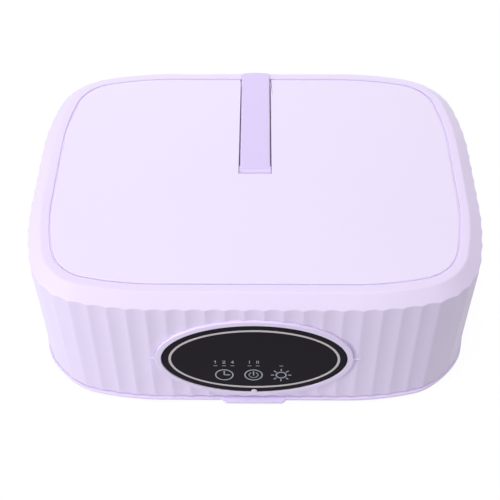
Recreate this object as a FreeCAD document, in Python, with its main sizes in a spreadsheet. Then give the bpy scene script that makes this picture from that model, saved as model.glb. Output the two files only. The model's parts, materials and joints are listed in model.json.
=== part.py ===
import FreeCAD, Part
import math
import os

# Folding clothes dryer, folded into its box. Millimetres, +Z up, +Y to the rear, and the origin on the
# floor under the middle of the box.

doc = FreeCAD.newDocument("folding_dryer")
sheet = doc.addObject("Spreadsheet::Sheet", "dims")

sizes = [
    ("half_width", 148.4, "half width of the cover outline"),
    ("half_depth", 110.8, "half depth of the cover outline"),
    ("side_radius", 215.0, "large radius that leads each side into its corner"),
    ("corner_radius", 33.0, "radius at the middle of a corner"),
    ("blend_angle", 13.8, "angle that the large radius turns through"),
    ("foot_height", 3.0, "rubber feet"),
    ("foot_radius", 8.0, "rubber feet"),
    ("foot_inset", 31.0, "foot centre to the cover outline"),
    ("top_height", 115.9, "floor to the top face"),
    ("rim_width", 7.1, "flat rim outside the cover"),
    ("bevel_drop", 8.1, "height of the bevel round the top"),
    ("bevel_out", 17.2, "outset of the wall at the foot of the bevel"),
    ("bevel_round", 3.0, "rounding between rim and bevel"),
    ("wall_foot_out", 16.3, "outset of the wall at its lower edge"),
    ("wall", 2.0, "shell thickness behind a flute"),
    ("overcut", 1.0, "how far a cut runs past the face that it opens"),
    ("flute_pitch", 13.4, "flute to flute"),
    ("flute_depth", 0.75, "depth of a flute"),
    ("flute_land", 0.9, "flat between two flutes"),
    ("seam_gap", 0.35, "half of the gap round the cover"),
    ("seam_round", 0.6, "rounding at the seam"),
    ("cover_thick", 3.5, "top cover"),
    ("ledge_thick", 3.0, "ledge that carries the cover"),
    ("ledge_width", 6.0, "ledge that carries the cover"),
    ("shell_gap", 0.5, "shell's lower edge to the tray lip"),
    ("lip_out", 17.7, "outset of the tray lip"),
    ("tray_thick", 2.4, "tray plate and lip"),
    ("lip_round", 0.7, "rounding of the lip"),
    ("upstand_height", 6.5, "tray wall inside the shell"),
    ("upstand_wall", 1.8, "tray wall inside the shell"),
    ("upstand_clear", 0.8, "tray wall to the shell"),
    ("tab_width", 49.0, "finger tab at the lip"),
    ("tab_tip_width", 42.4, "finger tab at its tip"),
    ("tab_reach", 3.0, "finger tab beyond the lip"),
    ("vent_length", 92.0, "air slot in the tray"),
    ("vent_width", 5.0, "air slot in the tray"),
    ("vent_pitch", 16.0, "air slot to air slot"),
    ("bag_out", 6.3, "outset of the folded bag"),
    ("bag_depth", 18.0, "depth of the folded bag's pleats"),
    ("bag_gap", 0.3, "folded bag to the ring above it"),
    ("clamp_thick", 3.0, "bag clamp rings"),
    ("clamp_width", 10.0, "bag clamp rings"),
    ("plate_thick", 3.0, "outlet plate"),
    ("plate_clear", 0.4, "outlet plate to the shell"),
    ("notch_clear", 4.0, "outlet plate to the bezel's sides"),
    ("duct_height", 16.0, "duct between outlet plate and fan"),
    ("fan_width", 120.0, "square fan frame"),
    ("fan_depth", 25.0, "fan frame"),
    ("fan_bore", 57.5, "radius of the air passage"),
    ("fan_hole_inset", 7.5, "fan screw to the frame's edge"),
    ("fan_hub", 22.0, "radius of the impeller hub"),
    ("hub_wall", 2.0, "impeller hub"),
    ("hub_clear", 1.0, "impeller hub to its motor"),
    ("motor_radius", 17.0, "fan motor"),
    ("motor_height", 10.0, "fan motor"),
    ("strut_thick", 3.0, "struts below the motor"),
    ("strut_width", 7.0, "struts below the motor"),
    ("shaft_radius", 1.5, "fan shaft"),
    ("shaft_clear", 0.05, "fan shaft in its hub"),
    ("tip_clear", 2.0, "blade tip to the air passage"),
    ("blade_thick", 2.0, "fan blade"),
    ("blade_chord", 24.0, "fan blade"),
    ("blade_pitch", 38.0, "fan blade angle"),
    ("plenum", 20.6, "fan to the handle trough"),
    ("heater_height", 11.0, "heater frame"),
    ("heater_wall", 3.5, "heater frame"),
    ("heater_clear", 0.3, "heater frame in its duct"),
    ("fin_thick", 0.8, "heater fins"),
    ("fin_pitch", 6.5, "heater fins"),
    ("fin_height", 8.0, "heater fins"),
    ("bar_thick", 5.0, "heating bars between the fins"),
    ("bar_spread", 32.2, "heating bar to heating bar"),
    ("core_clear", 0.1, "fins and bars to the heater frame"),
    ("fuse_radius", 1.6, "thermal fuse"),
    ("fuse_length", 12.0, "thermal fuse"),
    ("grille_width", 5.0, "slot of the warm air grille"),
    ("grille_pitch", 10.0, "slot to slot"),
    ("handle_width", 22.8, "strap handle"),
    ("handle_thick", 4.3, "strap handle"),
    ("handle_rise", 1.3, "how far the handle rises towards the rear"),
    ("handle_front", 1.0, "handle's front end before the middle"),
    ("handle_overhang", 0.4, "handle beyond the flat rim"),
    ("handle_corner", 3.0, "rounded corners of the handle's tip"),
    ("handle_edge", 0.8, "rounded edges of the handle"),
    ("knuckle_radius", 5.6, "round end of the handle on its pin"),
    ("slot_clear", 1.0, "handle to the slot's sides"),
    ("knuckle_clear", 0.4, "handle's round end to the slot's front"),
    ("knuckle_side", 0.3, "handle's round end to the slot's sides"),
    ("trough_wall", 2.0, "trough below the slot"),
    ("pin_radius", 2.0, "handle pin"),
    ("pin_clear", 0.08, "handle on its pin"),
    ("pin_boss", 3.0, "boss for the pin outside the trough"),
    ("bezel_half_width", 70.8, "oval bezel"),
    ("bezel_top_gap", 10.1, "bezel to the foot of the bevel"),
    ("bezel_low_gap", 3.6, "bezel to the shell's lower edge"),
    ("bezel_rim", 4.3, "width of the bezel round the panel"),
    ("bezel_proud", 1.6, "bezel above the wall"),
    ("bezel_round", 1.1, "rounding of the bezel"),
    ("bezel_step", 3.0, "bezel flange beyond its cup"),
    ("bezel_depth", 8.0, "cup behind the wall"),
    ("panel_thick", 2.0, "touch panel"),
    ("panel_sunk", 0.8, "touch panel below the bezel"),
    ("panel_clear", 0.15, "fit of panel and bezel"),
    ("seat_width", 5.0, "seat that carries the panel"),
    ("seat_thick", 1.4, "seat that carries the panel"),
    ("pip_radius", 2.0, "round pip at the foot of the panel"),
    ("trim_inset", 5.35, "silver ring to the panel's edge"),
    ("trim_width", 1.8, "silver ring"),
    ("trim_proud", 0.3, "silver ring above the panel"),
    ("board_thick", 1.6, "circuit boards"),
    ("spring_height", 2.8, "touch springs between seat and board"),
    ("spring_radius", 4.5, "touch springs"),
    ("key_pitch", 20.7, "key to key"),
    ("key_drop", 18.6, "keys below the panel's middle"),
    ("led_drop", 7.4, "indicator lamps below the panel's middle"),
    ("led_pitch", 6.5, "lamp to lamp"),
    ("led_width", 3.0, "indicator lamp"),
    ("post_radius", 2.6, "posts for the control board"),
    ("post_inset", 3.5, "post centre to the panel's edge"),
    ("standoff_radius", 3.6, "posts for the power board"),
    ("screw_radius", 1.4, "screw shanks"),
    ("screw_head", 2.8, "screw heads"),
    ("screw_head_height", 1.8, "screw heads"),
    ("screw_bite", 2.2, "screw in its second piece"),
    ("screw_clear", 0.1, "screw in its holes"),
    ("boss_radius", 4.6, "screw bosses in the shell"),
    ("boss_height", 12.0, "screw bosses in the shell"),
    ("boss_out", 9.7, "outset of the screw bosses"),
    ("supply_width", 60.0, "power board"),
    ("supply_depth", 116.0, "power board"),
    ("supply_gap", 10.0, "power board to the fan"),
    ("supply_lift", 6.0, "power board above the outlet plate"),
    ("supply_hole_inset", 5.0, "board screw to the board's edge"),
    ("rail_radius", 2.5, "hanging rail"),
    ("rail_length", 180.0, "hanging rail"),
    ("rail_spread", 84.0, "rail to rail"),
    ("rail_drop", 7.5, "rail below the outlet plate"),
    ("rail_post", 5.0, "rail's posts"),
    ("lamp_spread", 210.0, "lamp to lamp"),
    ("lamp_width", 14.0, "lamp board"),
    ("lamp_length", 70.0, "lamp board"),
    ("lamp_chip", 3.5, "width of a lamp's diode"),
    ("chip_height", 1.0, "height of a lamp's diode"),
    ("lens_wall", 1.5, "lamp cover"),
    ("lens_clear", 1.5, "lamp cover round its board"),
    ("lens_height", 5.0, "lamp cover"),
    ("intake_width", 130.0, "intake grille"),
    ("intake_height", 42.0, "intake grille"),
    ("intake_step", 3.0, "grille flange beyond its body"),
    ("intake_depth", 4.0, "grille body behind its flange"),
    ("intake_slot", 3.0, "grille slot"),
    ("intake_pitch", 7.0, "slot to slot"),
    ("intake_margin", 7.0, "slots to the grille's edge"),
    ("filter_thick", 4.0, "filter pad"),
    ("filter_clear", 0.3, "filter pad inside the grille's outline"),
    ("socket_width", 22.0, "mains socket"),
    ("socket_height", 14.0, "mains socket"),
    ("socket_depth", 18.0, "mains socket"),
    ("socket_flange", 3.0, "socket flange"),
    ("socket_wall", 2.0, "socket round its recess"),
    ("socket_recess", 12.0, "depth of the socket's recess"),
    ("socket_pin", 1.2, "socket pins"),
    ("socket_pin_pitch", 8.6, "pin to pin"),
    ("socket_pin_length", 10.0, "socket pins"),
    ("socket_turn", 8.0, "angle of the rear wall where the socket sits"),
    ("socket_lift", 16.0, "socket above the outlet plate"),
]

for row, (alias, value, note) in enumerate(sizes, start=1):
    sheet.set("A%d" % row, note)
    sheet.set("B%d" % row, str(value))
    sheet.setAlias("B%d" % row, alias)
doc.recompute()


def num(text):
    return float(sheet.evalExpression(text))


def dim(alias):
    return num("dims." + alias)


# A cut starts below one face of its piece and ends above the other

def below(face):
    return f"{face} - dims.overcut"


def above(face):
    return f"{face} + dims.overcut"


def through(thickness):
    return f"{thickness} + 2 * dims.overcut"


# Heights and places that several pieces share, as expressions on the sheet

tray_top = "(dims.foot_height + dims.tray_thick)"
shell_foot = f"({tray_top} + dims.shell_gap)"
bevel_foot = "(dims.top_height - dims.bevel_drop)"
ledge_top = "(dims.top_height - dims.cover_thick)"
ledge_foot = f"({ledge_top} - dims.ledge_thick)"
pivot_y = "(dims.knuckle_radius - dims.handle_front)"
pivot_z = "(dims.top_height - dims.knuckle_radius)"
trough_floor = f"({pivot_z} - dims.knuckle_radius - dims.knuckle_clear)"
fan_top = f"({trough_floor} - dims.trough_wall - dims.plenum)"
fan_foot = f"({fan_top} - dims.fan_depth)"
plate_top = f"({fan_foot} - dims.duct_height)"
plate_foot = f"({plate_top} - dims.plate_thick)"
bag_foot = f"({tray_top} + dims.clamp_thick)"
bag_top = f"({plate_foot} - dims.clamp_thick)"
slot_half = "(dims.handle_width / 2 + dims.slot_clear)"
slot_front = "(-dims.handle_front - dims.knuckle_clear)"
trough_rear = "(dims.half_depth - dims.ledge_width - dims.trough_wall)"
bezel_half_height = (f"(({bevel_foot} - dims.bezel_top_gap - {shell_foot}"
                     " - dims.bezel_low_gap) / 2)")
bezel_height = f"({shell_foot} + dims.bezel_low_gap + {bezel_half_height})"
panel_half_width = "(dims.bezel_half_width - dims.bezel_rim)"
panel_half_height = f"({bezel_half_height} - dims.bezel_rim)"
panel_face = "(dims.bezel_proud - dims.panel_sunk)"
panel_back = f"({panel_face} - dims.panel_thick)"
seat_back = f"({panel_back} - dims.seat_thick)"
board_face = f"({seat_back} - dims.spring_height)"
fan_half = "(dims.fan_width / 2)"
screw_hole = "(dims.screw_radius + dims.screw_clear)"

rear_reach = "(dims.half_depth + dims.bevel_out + dims.overcut)"
centre = ("0", "0")
near = 1e-4
wall_slope = (dim("bevel_out") - dim("wall_foot_out")) / (num(bevel_foot) - num(shell_foot))
wall_tilt = math.degrees(math.atan(wall_slope))


def wall_out(z):
    return dim("wall_foot_out") + wall_slope * (z - num(shell_foot))


# The box's outline: each side is a straight, a large radius, the corner radius and a large radius

def corner_centres():
    turn = math.radians(dim("blend_angle"))
    step = dim("side_radius") - dim("corner_radius")
    reach = dim("side_radius") - step * (math.cos(turn) - math.sin(turn))
    first = (dim("half_width") - reach, dim("half_depth") - dim("side_radius"))
    middle = (first[0] + step * math.sin(turn), first[1] + step * math.cos(turn))
    last = (middle[0] - step * math.cos(turn), middle[1] - step * math.sin(turn))
    return first, middle, last


def outline_arcs():
    # Every arc as centre, radius, first and last angle of its normal, clockwise from the rear
    first, middle, last = corner_centres()
    turn = dim("blend_angle")
    large, small = dim("side_radius"), dim("corner_radius")
    quarter = [(first, large, 0, turn), (middle, small, turn, 90 - turn), (last, large, 90 - turn, 90)]
    arcs = []
    for number, (side_x, side_y) in enumerate(((1, 1), (1, -1), (-1, -1), (-1, 1))):
        turned = quarter if number % 2 == 0 else quarter[::-1]
        for centre, radius, start, end in turned:
            if number % 2:
                start, end = 90 - end, 90 - start
            place = (side_x * centre[0], side_y * centre[1])
            arcs.append((place, radius, 90 * number + start, 90 * number + end))
    return arcs


def on_arc(arc, angle, out, z):
    (x, y), radius, _, _ = arc
    turn = math.radians(angle)
    reach = radius + out
    return FreeCAD.Vector(x + reach * math.sin(turn), y + reach * math.cos(turn), z)


def outline(out, z):
    arcs = outline_arcs()
    edges = []
    for arc, following in zip(arcs, arcs[1:] + arcs[:1]):
        start, middle, end = (on_arc(arc, arc[2] + part * (arc[3] - arc[2]), out, z) for part in (0, 0.5, 1))
        edges.append(Part.Arc(start, middle, end).toShape())
        onward = on_arc(following, following[2], out, z)
        if end.distanceToPoint(onward) > near:
            edges.append(Part.LineSegment(end, onward).toShape())
    return Part.Wire(edges)


def rim_places(out):
    # Points spread evenly round the outline, the first at the front, each with its outward normal
    arcs = outline_arcs()
    runs = []
    for arc, following in zip(arcs, arcs[1:] + arcs[:1]):
        runs.append((math.radians(arc[3] - arc[2]) * (arc[1] + out), arc, None))
        start, end = on_arc(arc, arc[3], 0, 0), on_arc(following, following[2], 0, 0)
        runs.append((start.distanceToPoint(end), start, end))
    total = sum(run[0] for run in runs)
    ahead = sum(run[0] for run in runs[:len(runs) // 2 - 1]) + runs[len(runs) // 2 - 1][0] / 2

    def at(travel):
        travel = (travel + ahead) % total
        for length, start, end in runs:
            if travel <= length:
                break
            travel -= length
        if end is None:
            angle = start[2] + (start[3] - start[2]) * travel / length
            turn = math.radians(angle)
            return on_arc(start, angle, 0, 0), FreeCAD.Vector(math.sin(turn), math.cos(turn), 0)
        along = (end - start).normalize()
        return start + along * travel, FreeCAD.Vector(-along.y, along.x, 0)

    return total, at


def tapered(levels):
    return Part.makeLoft([outline(out, z) for out, z in levels], True, True)


def slab(out, low, high):
    return Part.Face(outline(out, low)).extrude(FreeCAD.Vector(0, 0, high - low))


def coded(label, shape):
    made = doc.addObject("Part::Feature", label)
    made.Label = label
    made.Shape = shape
    return made


# Short forms for bound primitives and booleans

def block(label, size, low):
    made = doc.addObject("Part::Box", label)
    for name, text in zip(("Length", "Width", "Height"), size):
        made.setExpression(name, text)
    for axis, text in zip("xyz", low):
        made.setExpression("Placement.Base." + axis, text)
    return made


def centred_block(label, size, middle, low):
    place = [f"{at} - ({length}) / 2" for at, length in zip(middle, size)]
    return block(label, size, (place[0], place[1], low))


def rod(label, radius, length, base, axis="z"):
    made = doc.addObject("Part::Cylinder", label)
    made.setExpression("Radius", radius)
    made.setExpression("Height", length)
    if axis == "x":
        made.Placement.Rotation = FreeCAD.Rotation(FreeCAD.Vector(0, 1, 0), 90)
    for name, text in zip("xyz", base):
        made.setExpression("Placement.Base." + name, text)
    return made


def oval(label, half_x, half_y, low, high):
    line = doc.addObject("Part::Ellipse", label + "_line")
    line.setExpression("MajorRadius", half_x)
    line.setExpression("MinorRadius", half_y)
    line.setExpression("Placement.Base.z", low)
    made = doc.addObject("Part::Extrusion", label)
    made.Base = line
    made.DirMode = "Custom"
    made.Dir = FreeCAD.Vector(0, 0, 1)
    made.setExpression("LengthFwd", f"{high} - ({low})")
    made.Solid = True
    return made


def group(label, members):
    made = doc.addObject("Part::Compound", label)
    made.Links = members
    return made


def fused(label, members):
    made = doc.addObject("Part::MultiFuse", label)
    made.Shapes = members
    return made


def cut(label, base, tools):
    made = doc.addObject("Part::Cut", label)
    made.Base = base
    made.Tool = tools[0] if len(tools) == 1 else group(label + "_cuts", tools)
    return made


def common(label, first, second):
    made = doc.addObject("Part::Common", label)
    made.Base = first
    made.Tool = second
    return made


def rounded(label, base, radius, chosen):
    doc.recompute()
    made = doc.addObject("Part::Fillet", label)
    made.Base = base
    edges = [(n, radius, radius) for n, edge in enumerate(base.Shape.Edges, start=1) if chosen(edge)]
    made.Edges = edges
    return made


def lies_at(z):
    return lambda edge: abs(edge.BoundBox.ZMin - z) < near and abs(edge.BoundBox.ZMax - z) < near


nodes = []


def node(label, made):
    made.Label = label
    nodes.append(made)
    return made


# Places for screws: the middle of each corner and of the left and right sides

def screw_places(out):
    middle = corner_centres()[1]
    reach = (dim("corner_radius") + out) * math.sqrt(0.5)
    corner = (middle[0] + reach, middle[1] + reach)
    places = [(sx * corner[0], sy * corner[1]) for sx in (-1, 1) for sy in (-1, 1)]
    return places + [(-dim("half_width") - out, 0.0), (dim("half_width") + out, 0.0)]


def screws(label, places, seat, length, heading):
    # One screw for each place, its head on the seat and its shank running along the heading, up or down
    made = []
    for number, (x, y) in enumerate(places):
        head_low = f"{seat} - dims.screw_head_height" if heading > 0 else seat
        shank_low = seat if heading > 0 else f"{seat} - ({length})"
        spot = (str(x), str(y))
        head = rod(f"{label}_head{number}", "dims.screw_head", "dims.screw_head_height", (*spot, head_low))
        shank = rod(f"{label}_shank{number}", "dims.screw_radius", length, (*spot, shank_low))
        made.append(fused(f"{label}_one{number}", [head, shank]))
    return group(label, made)


def holes(label, places, low, length):
    return [rod(f"{label}{n}", screw_hole, length, (str(x), str(y), low)) for n, (x, y) in enumerate(places)]


cover_spots = screw_places(-dim("ledge_width") / 2)
clamp_spots = screw_places(dim("bag_out") - dim("clamp_width") / 2)
plate_spots = screw_places(dim("boss_out"))


def wall_frame(height, turn):
    # Local frame on the wall, where its normal has turned clockwise from the rear by this angle:
    # X along the wall, Y up its slope, Z outwards from the flutes' crests
    arc = next(arc for arc in outline_arcs() if arc[2] <= turn <= arc[3])
    point = on_arc(arc, turn, wall_out(height), height)
    if turn in (rear_turn, front_turn):
        point.x = 0
    upright = FreeCAD.Rotation(FreeCAD.Vector(1, 0, 0), 90 + wall_tilt)
    facing = FreeCAD.Rotation(FreeCAD.Vector(0, 0, 1), 180 - turn)
    return FreeCAD.Placement(point, facing.multiply(upright))


rear_turn, front_turn = 0, 180
intake_middle = f"({bezel_height} + {bezel_half_height} - dims.bezel_round - dims.intake_height / 2)"
socket_middle = f"({plate_top} + dims.socket_lift)"
front = wall_frame(num(bezel_height), front_turn)
rear = wall_frame(num(intake_middle), rear_turn)
socket_frame = wall_frame(num(socket_middle), dim("socket_turn"))


def put(made, frame):
    made.Placement = frame
    return made


# Bottom tray: plate with lip and finger tab, a low wall inside the shell, and air slots

def tray_plate():
    low, high = dim("foot_height"), num(tray_top)
    edge, soft = dim("lip_out"), dim("lip_round")
    plate = tapered([(edge - soft, low), (edge, low + soft), (edge, high - soft), (edge - soft, high)])
    lip_y = -dim("half_depth") - edge
    back = lip_y + dim("tray_thick")
    half, tip = dim("tab_width") / 2, dim("tab_tip_width") / 2
    tip_y = lip_y - dim("tab_reach")
    corners = [(-half, back), (-half, lip_y), (-tip, tip_y), (tip, tip_y), (half, lip_y), (half, back)]
    line = Part.makePolygon([FreeCAD.Vector(x, y, low) for x, y in corners + corners[:1]])
    tab = Part.Face(line).extrude(FreeCAD.Vector(0, 0, high - low))
    outer = wall_out(num(shell_foot)) - dim("flute_depth") - dim("wall") - dim("upstand_clear")
    upstand = slab(outer, high, high + dim("upstand_height"))
    inner = slab(outer - dim("upstand_wall"), high, high + dim("upstand_height"))
    return plate.fuse([tab, upstand.cut(inner)]).removeSplitter()


vent_rows = 9
vents = []
for row in range(vent_rows):
    for side in (-1, 1):
        middle_x = f"{side} * (dims.vent_length / 2 + dims.vent_width)"
        middle_y = f"{row - (vent_rows - 1) / 2} * dims.vent_pitch"
        vents.append(centred_block(f"vent{row}_{side + 1}", ("dims.vent_length", "dims.vent_width",
                     through("dims.tray_thick")), (middle_x, middle_y), below("dims.foot_height")))
tray_holes = holes("tray_hole", clamp_spots, below("dims.foot_height"), through("dims.tray_thick"))
node("bottom_tray", cut("tray_cut", coded("tray_plate", tray_plate()), vents + tray_holes))

feet = []
for side_x in (-1, 1):
    for side_y in (-1, 1):
        spot = (f"{side_x} * (dims.half_width - dims.foot_inset)",
                f"{side_y} * (dims.half_depth - dims.foot_inset)", "0")
        feet.append(rod(f"foot{side_x + 1}{side_y + 1}", "dims.foot_radius", "dims.foot_height", spot))
node("rubber_feet", group("feet", feet))


# Drying bag, folded between two clamp rings

def ring(out, width, low, high):
    return slab(out, low, high).cut(slab(out - width, low, high))


def clamp_ring(label, low, high):
    made = coded(label + "_blank", ring(dim("bag_out"), dim("clamp_width"), num(low), num(high)))
    bores = holes(label + "_hole", clamp_spots, below(low), through("dims.clamp_thick"))
    return node(label, cut(label + "_cut", made, bores))


clamp_ring("bag_lower_ring", tray_top, bag_foot)
clamp_ring("bag_upper_ring", bag_top, plate_foot)
node("drying_bag", coded("bag", ring(dim("bag_out"), dim("bag_depth"), num(bag_foot),
                                     num(bag_top) - dim("bag_gap"))))
node("lower_ring_screws", screws("lower_screw", clamp_spots, "dims.foot_height",
                                 "dims.tray_thick + dims.screw_bite", 1))
node("upper_ring_screws", screws("upper_screw", clamp_spots, plate_top,
                                 "dims.plate_thick + dims.screw_bite", -1))


# Fluted shell, a tapering fluted wall, and the bevelled top frame welded on it, with a ledge for the cover

def fluted_prism(low, high):
    total, at = rim_places((dim("wall_foot_out") + dim("bevel_out")) / 2)
    count = 2 * round(total / dim("flute_pitch") / 2)
    pitch = total / count
    wires = []
    for z in (low, high):
        crest = wall_out(z)
        edges = []
        corners = []
        for number in range(count):
            stations = [(number + part) * pitch for part in (-0.5, 0, 0.5)]
            shift = (dim("flute_land") / 2, 0, -dim("flute_land") / 2)
            outs = (crest, crest - dim("flute_depth"), crest)
            corners.append([])
            for travel, move, out in zip(stations, shift, outs):
                point, normal = at(travel + move)
                corners[-1].append(FreeCAD.Vector(point.x, point.y, z) + normal * out)
        for flute, following in zip(corners, corners[1:] + corners[:1]):
            edges.append(Part.Arc(*flute).toShape())
            edges.append(Part.LineSegment(flute[2], following[0]).toShape())
        wires.append(Part.Wire(edges))
    return Part.makeLoft(wires, True, True)


def bevelled_body(low):
    top, rim = dim("top_height"), dim("rim_width")
    fall = dim("bevel_drop") / (dim("bevel_out") - rim)
    reach = dim("bevel_out") + dim("wall") + dim("flute_pitch")
    body = tapered([(reach, low), (reach, top - fall * (reach - rim)), (rim, top)])
    edges = [edge for edge in body.Edges if lies_at(top)(edge)]
    return body.makeFillet(dim("bevel_round"), edges)


def shell_hollow(low):
    skin = dim("flute_depth") + dim("wall")
    shoulder = num(bevel_foot) - dim("wall")
    fall = dim("bevel_drop") / (dim("bevel_out") - dim("rim_width"))
    skin_across = dim("wall") * math.hypot(1, fall) / fall
    roof = dim("rim_width") + (dim("top_height") - num(ledge_foot)) / fall - skin_across
    levels = [(wall_out(low) - skin, low), (wall_out(shoulder) - skin, shoulder), (roof, num(ledge_foot))]
    past = dim("overcut")
    opening = slab(-dim("ledge_width"), num(ledge_foot) - past, num(ledge_top) + past)
    seat = slab(dim("seam_gap"), num(ledge_top), dim("top_height") + past)
    return [tapered(levels), opening, seat]


def shell_skin(low, high):
    foot = num(shell_foot)
    body = fluted_prism(foot, dim("top_height") + dim("overcut")).common(bevelled_body(foot))
    return body.cut(shell_hollow(foot)).common(slab(dim("bevel_out") + dim("overcut"), low, high))


def wall_blank():
    bosses = [Part.makeCylinder(dim("boss_radius"), dim("boss_height"), FreeCAD.Vector(x, y, num(plate_top)))
              for x, y in plate_spots]
    return shell_skin(num(shell_foot), num(bevel_foot)).fuse(bosses)


bezel_tool = oval("bezel_seat_tool", "dims.bezel_half_width + dims.panel_clear",
                  f"{bezel_half_height} + dims.panel_clear", "-dims.flute_depth", above("dims.bezel_proud"))
cup_tool = oval("bezel_cup_tool", "dims.bezel_half_width - dims.bezel_step + dims.panel_clear",
                f"{bezel_half_height} - dims.bezel_step + dims.panel_clear",
                below("-dims.bezel_depth"), above("dims.bezel_proud"))


def plug_tools(label, width, height, step):
    wide = centred_block(label + "_seat_tool", (f"{width} + 2 * dims.panel_clear",
                         f"{height} + 2 * dims.panel_clear", above("dims.bezel_proud + dims.flute_depth")),
                         centre, "-dims.flute_depth")
    deep = centred_block(label + "_body_tool", (f"{width} - 2 * {step} + 2 * dims.panel_clear",
                         f"{height} - 2 * {step} + 2 * dims.panel_clear",
                         "dims.wall + 2 * dims.bezel_depth"),
                         centre, "-dims.wall - dims.bezel_depth")
    return fused(label + "_tools", [wide, deep])


front_tool = put(fused("front_tool", [bezel_tool, cup_tool]), front)
intake_tool = put(plug_tools("intake", "dims.intake_width", "dims.intake_height", "dims.intake_step"), rear)
socket_outer_width = "(dims.socket_width + 2 * dims.socket_flange)"
socket_outer_height = "(dims.socket_height + 2 * dims.socket_flange)"
socket_tool = put(plug_tools("socket", socket_outer_width, socket_outer_height, "dims.socket_flange"),
                  socket_frame)
notch_tool = block("notch_tool", (f"2 * {slot_half}", rear_reach, through("dims.cover_thick")),
                   (f"-{slot_half}", trough_rear, ledge_top))
frame_holes = holes("frame_hole", cover_spots, below(ledge_foot), through("dims.ledge_thick"))
boss_holes = holes("boss_hole", plate_spots, below(plate_top), above("dims.screw_bite + dims.screw_head"))
node("fluted_shell", cut("wall_cut", coded("wall_blank", wall_blank()),
                         [front_tool, intake_tool, socket_tool] + boss_holes))
node("top_frame", cut("frame_cut", coded("frame_blank", shell_skin(num(bevel_foot), dim("top_height"))),
                      [notch_tool] + frame_holes))


# Top cover with the handle's trough, its pin bosses and the pin

def cover_plate():
    plate = slab(-dim("seam_gap"), num(ledge_top), dim("top_height"))
    edges = [edge for edge in plate.Edges if lies_at(dim("top_height"))(edge)]
    return plate.makeFillet(dim("seam_round"), edges)


trough_half = f"({slot_half} + dims.trough_wall)"
trough = block("trough", (f"2 * {trough_half}", f"{trough_rear} - {slot_front} + 2 * dims.trough_wall",
               f"{ledge_top} - {trough_floor} + dims.trough_wall"),
               (f"-{trough_half}", f"{slot_front} - dims.trough_wall", f"{trough_floor} - dims.trough_wall"))
boss_length = f"(2 * ({trough_half} + dims.pin_boss))"
pin_boss = rod("pin_boss_rod", "dims.pin_radius + dims.trough_wall", boss_length,
               (f"-{boss_length} / 2", pivot_y, pivot_z), "x")
cover_body = fused("cover_body", [coded("cover_plate", cover_plate()), trough, pin_boss])
slot_deep = block("slot_deep", (f"2 * {slot_half}", f"{trough_rear} - {slot_front}",
                  above(f"dims.top_height - {trough_floor}")), (f"-{slot_half}", slot_front, trough_floor))
slot_rear = block("slot_rear", (f"2 * {slot_half}", "dims.half_depth", through("dims.cover_thick")),
                  (f"-{slot_half}", below(trough_rear), ledge_top))
pin_bore = rod("pin_bore", "dims.pin_radius + dims.pin_clear / 2", through(boss_length),
               (below(f"-{boss_length} / 2"), pivot_y, pivot_z), "x")
cover_bores = holes("cover_hole", cover_spots, below(ledge_top), above("dims.screw_bite"))
node("top_cover", cut("cover_cut", cover_body, [slot_deep, slot_rear, pin_bore] + cover_bores))
node("handle_pin", rod("pin", "dims.pin_radius", boss_length, (f"-{boss_length} / 2", pivot_y, pivot_z), "x"))
node("cover_screws", screws("cover_screw", cover_spots, ledge_foot,
                            "dims.ledge_thick + dims.screw_bite - dims.screw_clear", 1))


# Strap handle: a round knuckle on the pin and a flat bar that rises over the rear rim

def handle_bar():
    start, end = num(pivot_y), dim("half_depth") + dim("rim_width") + dim("handle_overhang")
    top = dim("top_height")
    thick, rise, half = dim("handle_thick"), dim("handle_rise"), dim("handle_width") / 2
    side = [(start, top), (end, top + rise), (end, top + rise - thick), (start, top - thick)]
    line = Part.makePolygon([FreeCAD.Vector(-half, y, z) for y, z in side + side[:1]])
    bar = Part.Face(line).extrude(FreeCAD.Vector(2 * half, 0, 0))
    wide = half + dim("slot_clear") - dim("knuckle_side")
    knuckle = Part.makeCylinder(dim("knuckle_radius"), 2 * wide, FreeCAD.Vector(-wide, start, num(pivot_z)),
                                FreeCAD.Vector(1, 0, 0))
    tip = [edge for edge in bar.Edges if edge.BoundBox.YMin > end - near and edge.BoundBox.XLength < near]
    bar = bar.makeFillet(dim("handle_corner"), tip)
    flat = [edge for edge in bar.Edges if edge.BoundBox.ZMin > top - near]
    flat = [edge for edge in flat if edge.BoundBox.YMax > start + near]
    bar = bar.makeFillet(dim("handle_edge"), flat)
    return bar.fuse(knuckle)


handle_bore = rod("handle_bore", "dims.pin_radius + dims.pin_clear", f"2 * {slot_half}",
                  (f"-{slot_half}", pivot_y, pivot_z), "x")
node("hook_handle", cut("handle_cut", coded("handle_bar", handle_bar()), [handle_bore]))


# Oval control panel, modelled flat in the front wall's own frame

flange = rounded("bezel_flange", oval("bezel_flange_blank", "dims.bezel_half_width", bezel_half_height,
                 "-dims.flute_depth", "dims.bezel_proud"), dim("bezel_round"), lies_at(dim("bezel_proud")))
cup = oval("bezel_cup", "dims.bezel_half_width - dims.bezel_step", f"{bezel_half_height} - dims.bezel_step",
           "-dims.bezel_depth", "0")
cup_hollow = oval("cup_hollow", panel_half_width, panel_half_height, below("-dims.bezel_depth"), seat_back)
seat_hole = oval("seat_hole", f"{panel_half_width} - dims.seat_width",
                 f"{panel_half_height} - dims.seat_width", below("-dims.bezel_depth"),
                 above("dims.bezel_proud"))
panel_room = oval("panel_room", panel_half_width, panel_half_height, panel_back, above("dims.bezel_proud"))
bezel_body = cut("bezel_body", fused("bezel_blank", [flange, cup]), [fused("bezel_room",
                 [cup_hollow, seat_hole, panel_room])])
post_spots = []
for side_x in (-1, 1):
    for side_y in (-1, 1):
        post_spots.append((f"{side_x} * ({panel_half_width} - dims.post_inset) * cos(45)",
                           f"{side_y} * ({panel_half_height} - dims.post_inset) * sin(45)"))
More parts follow.
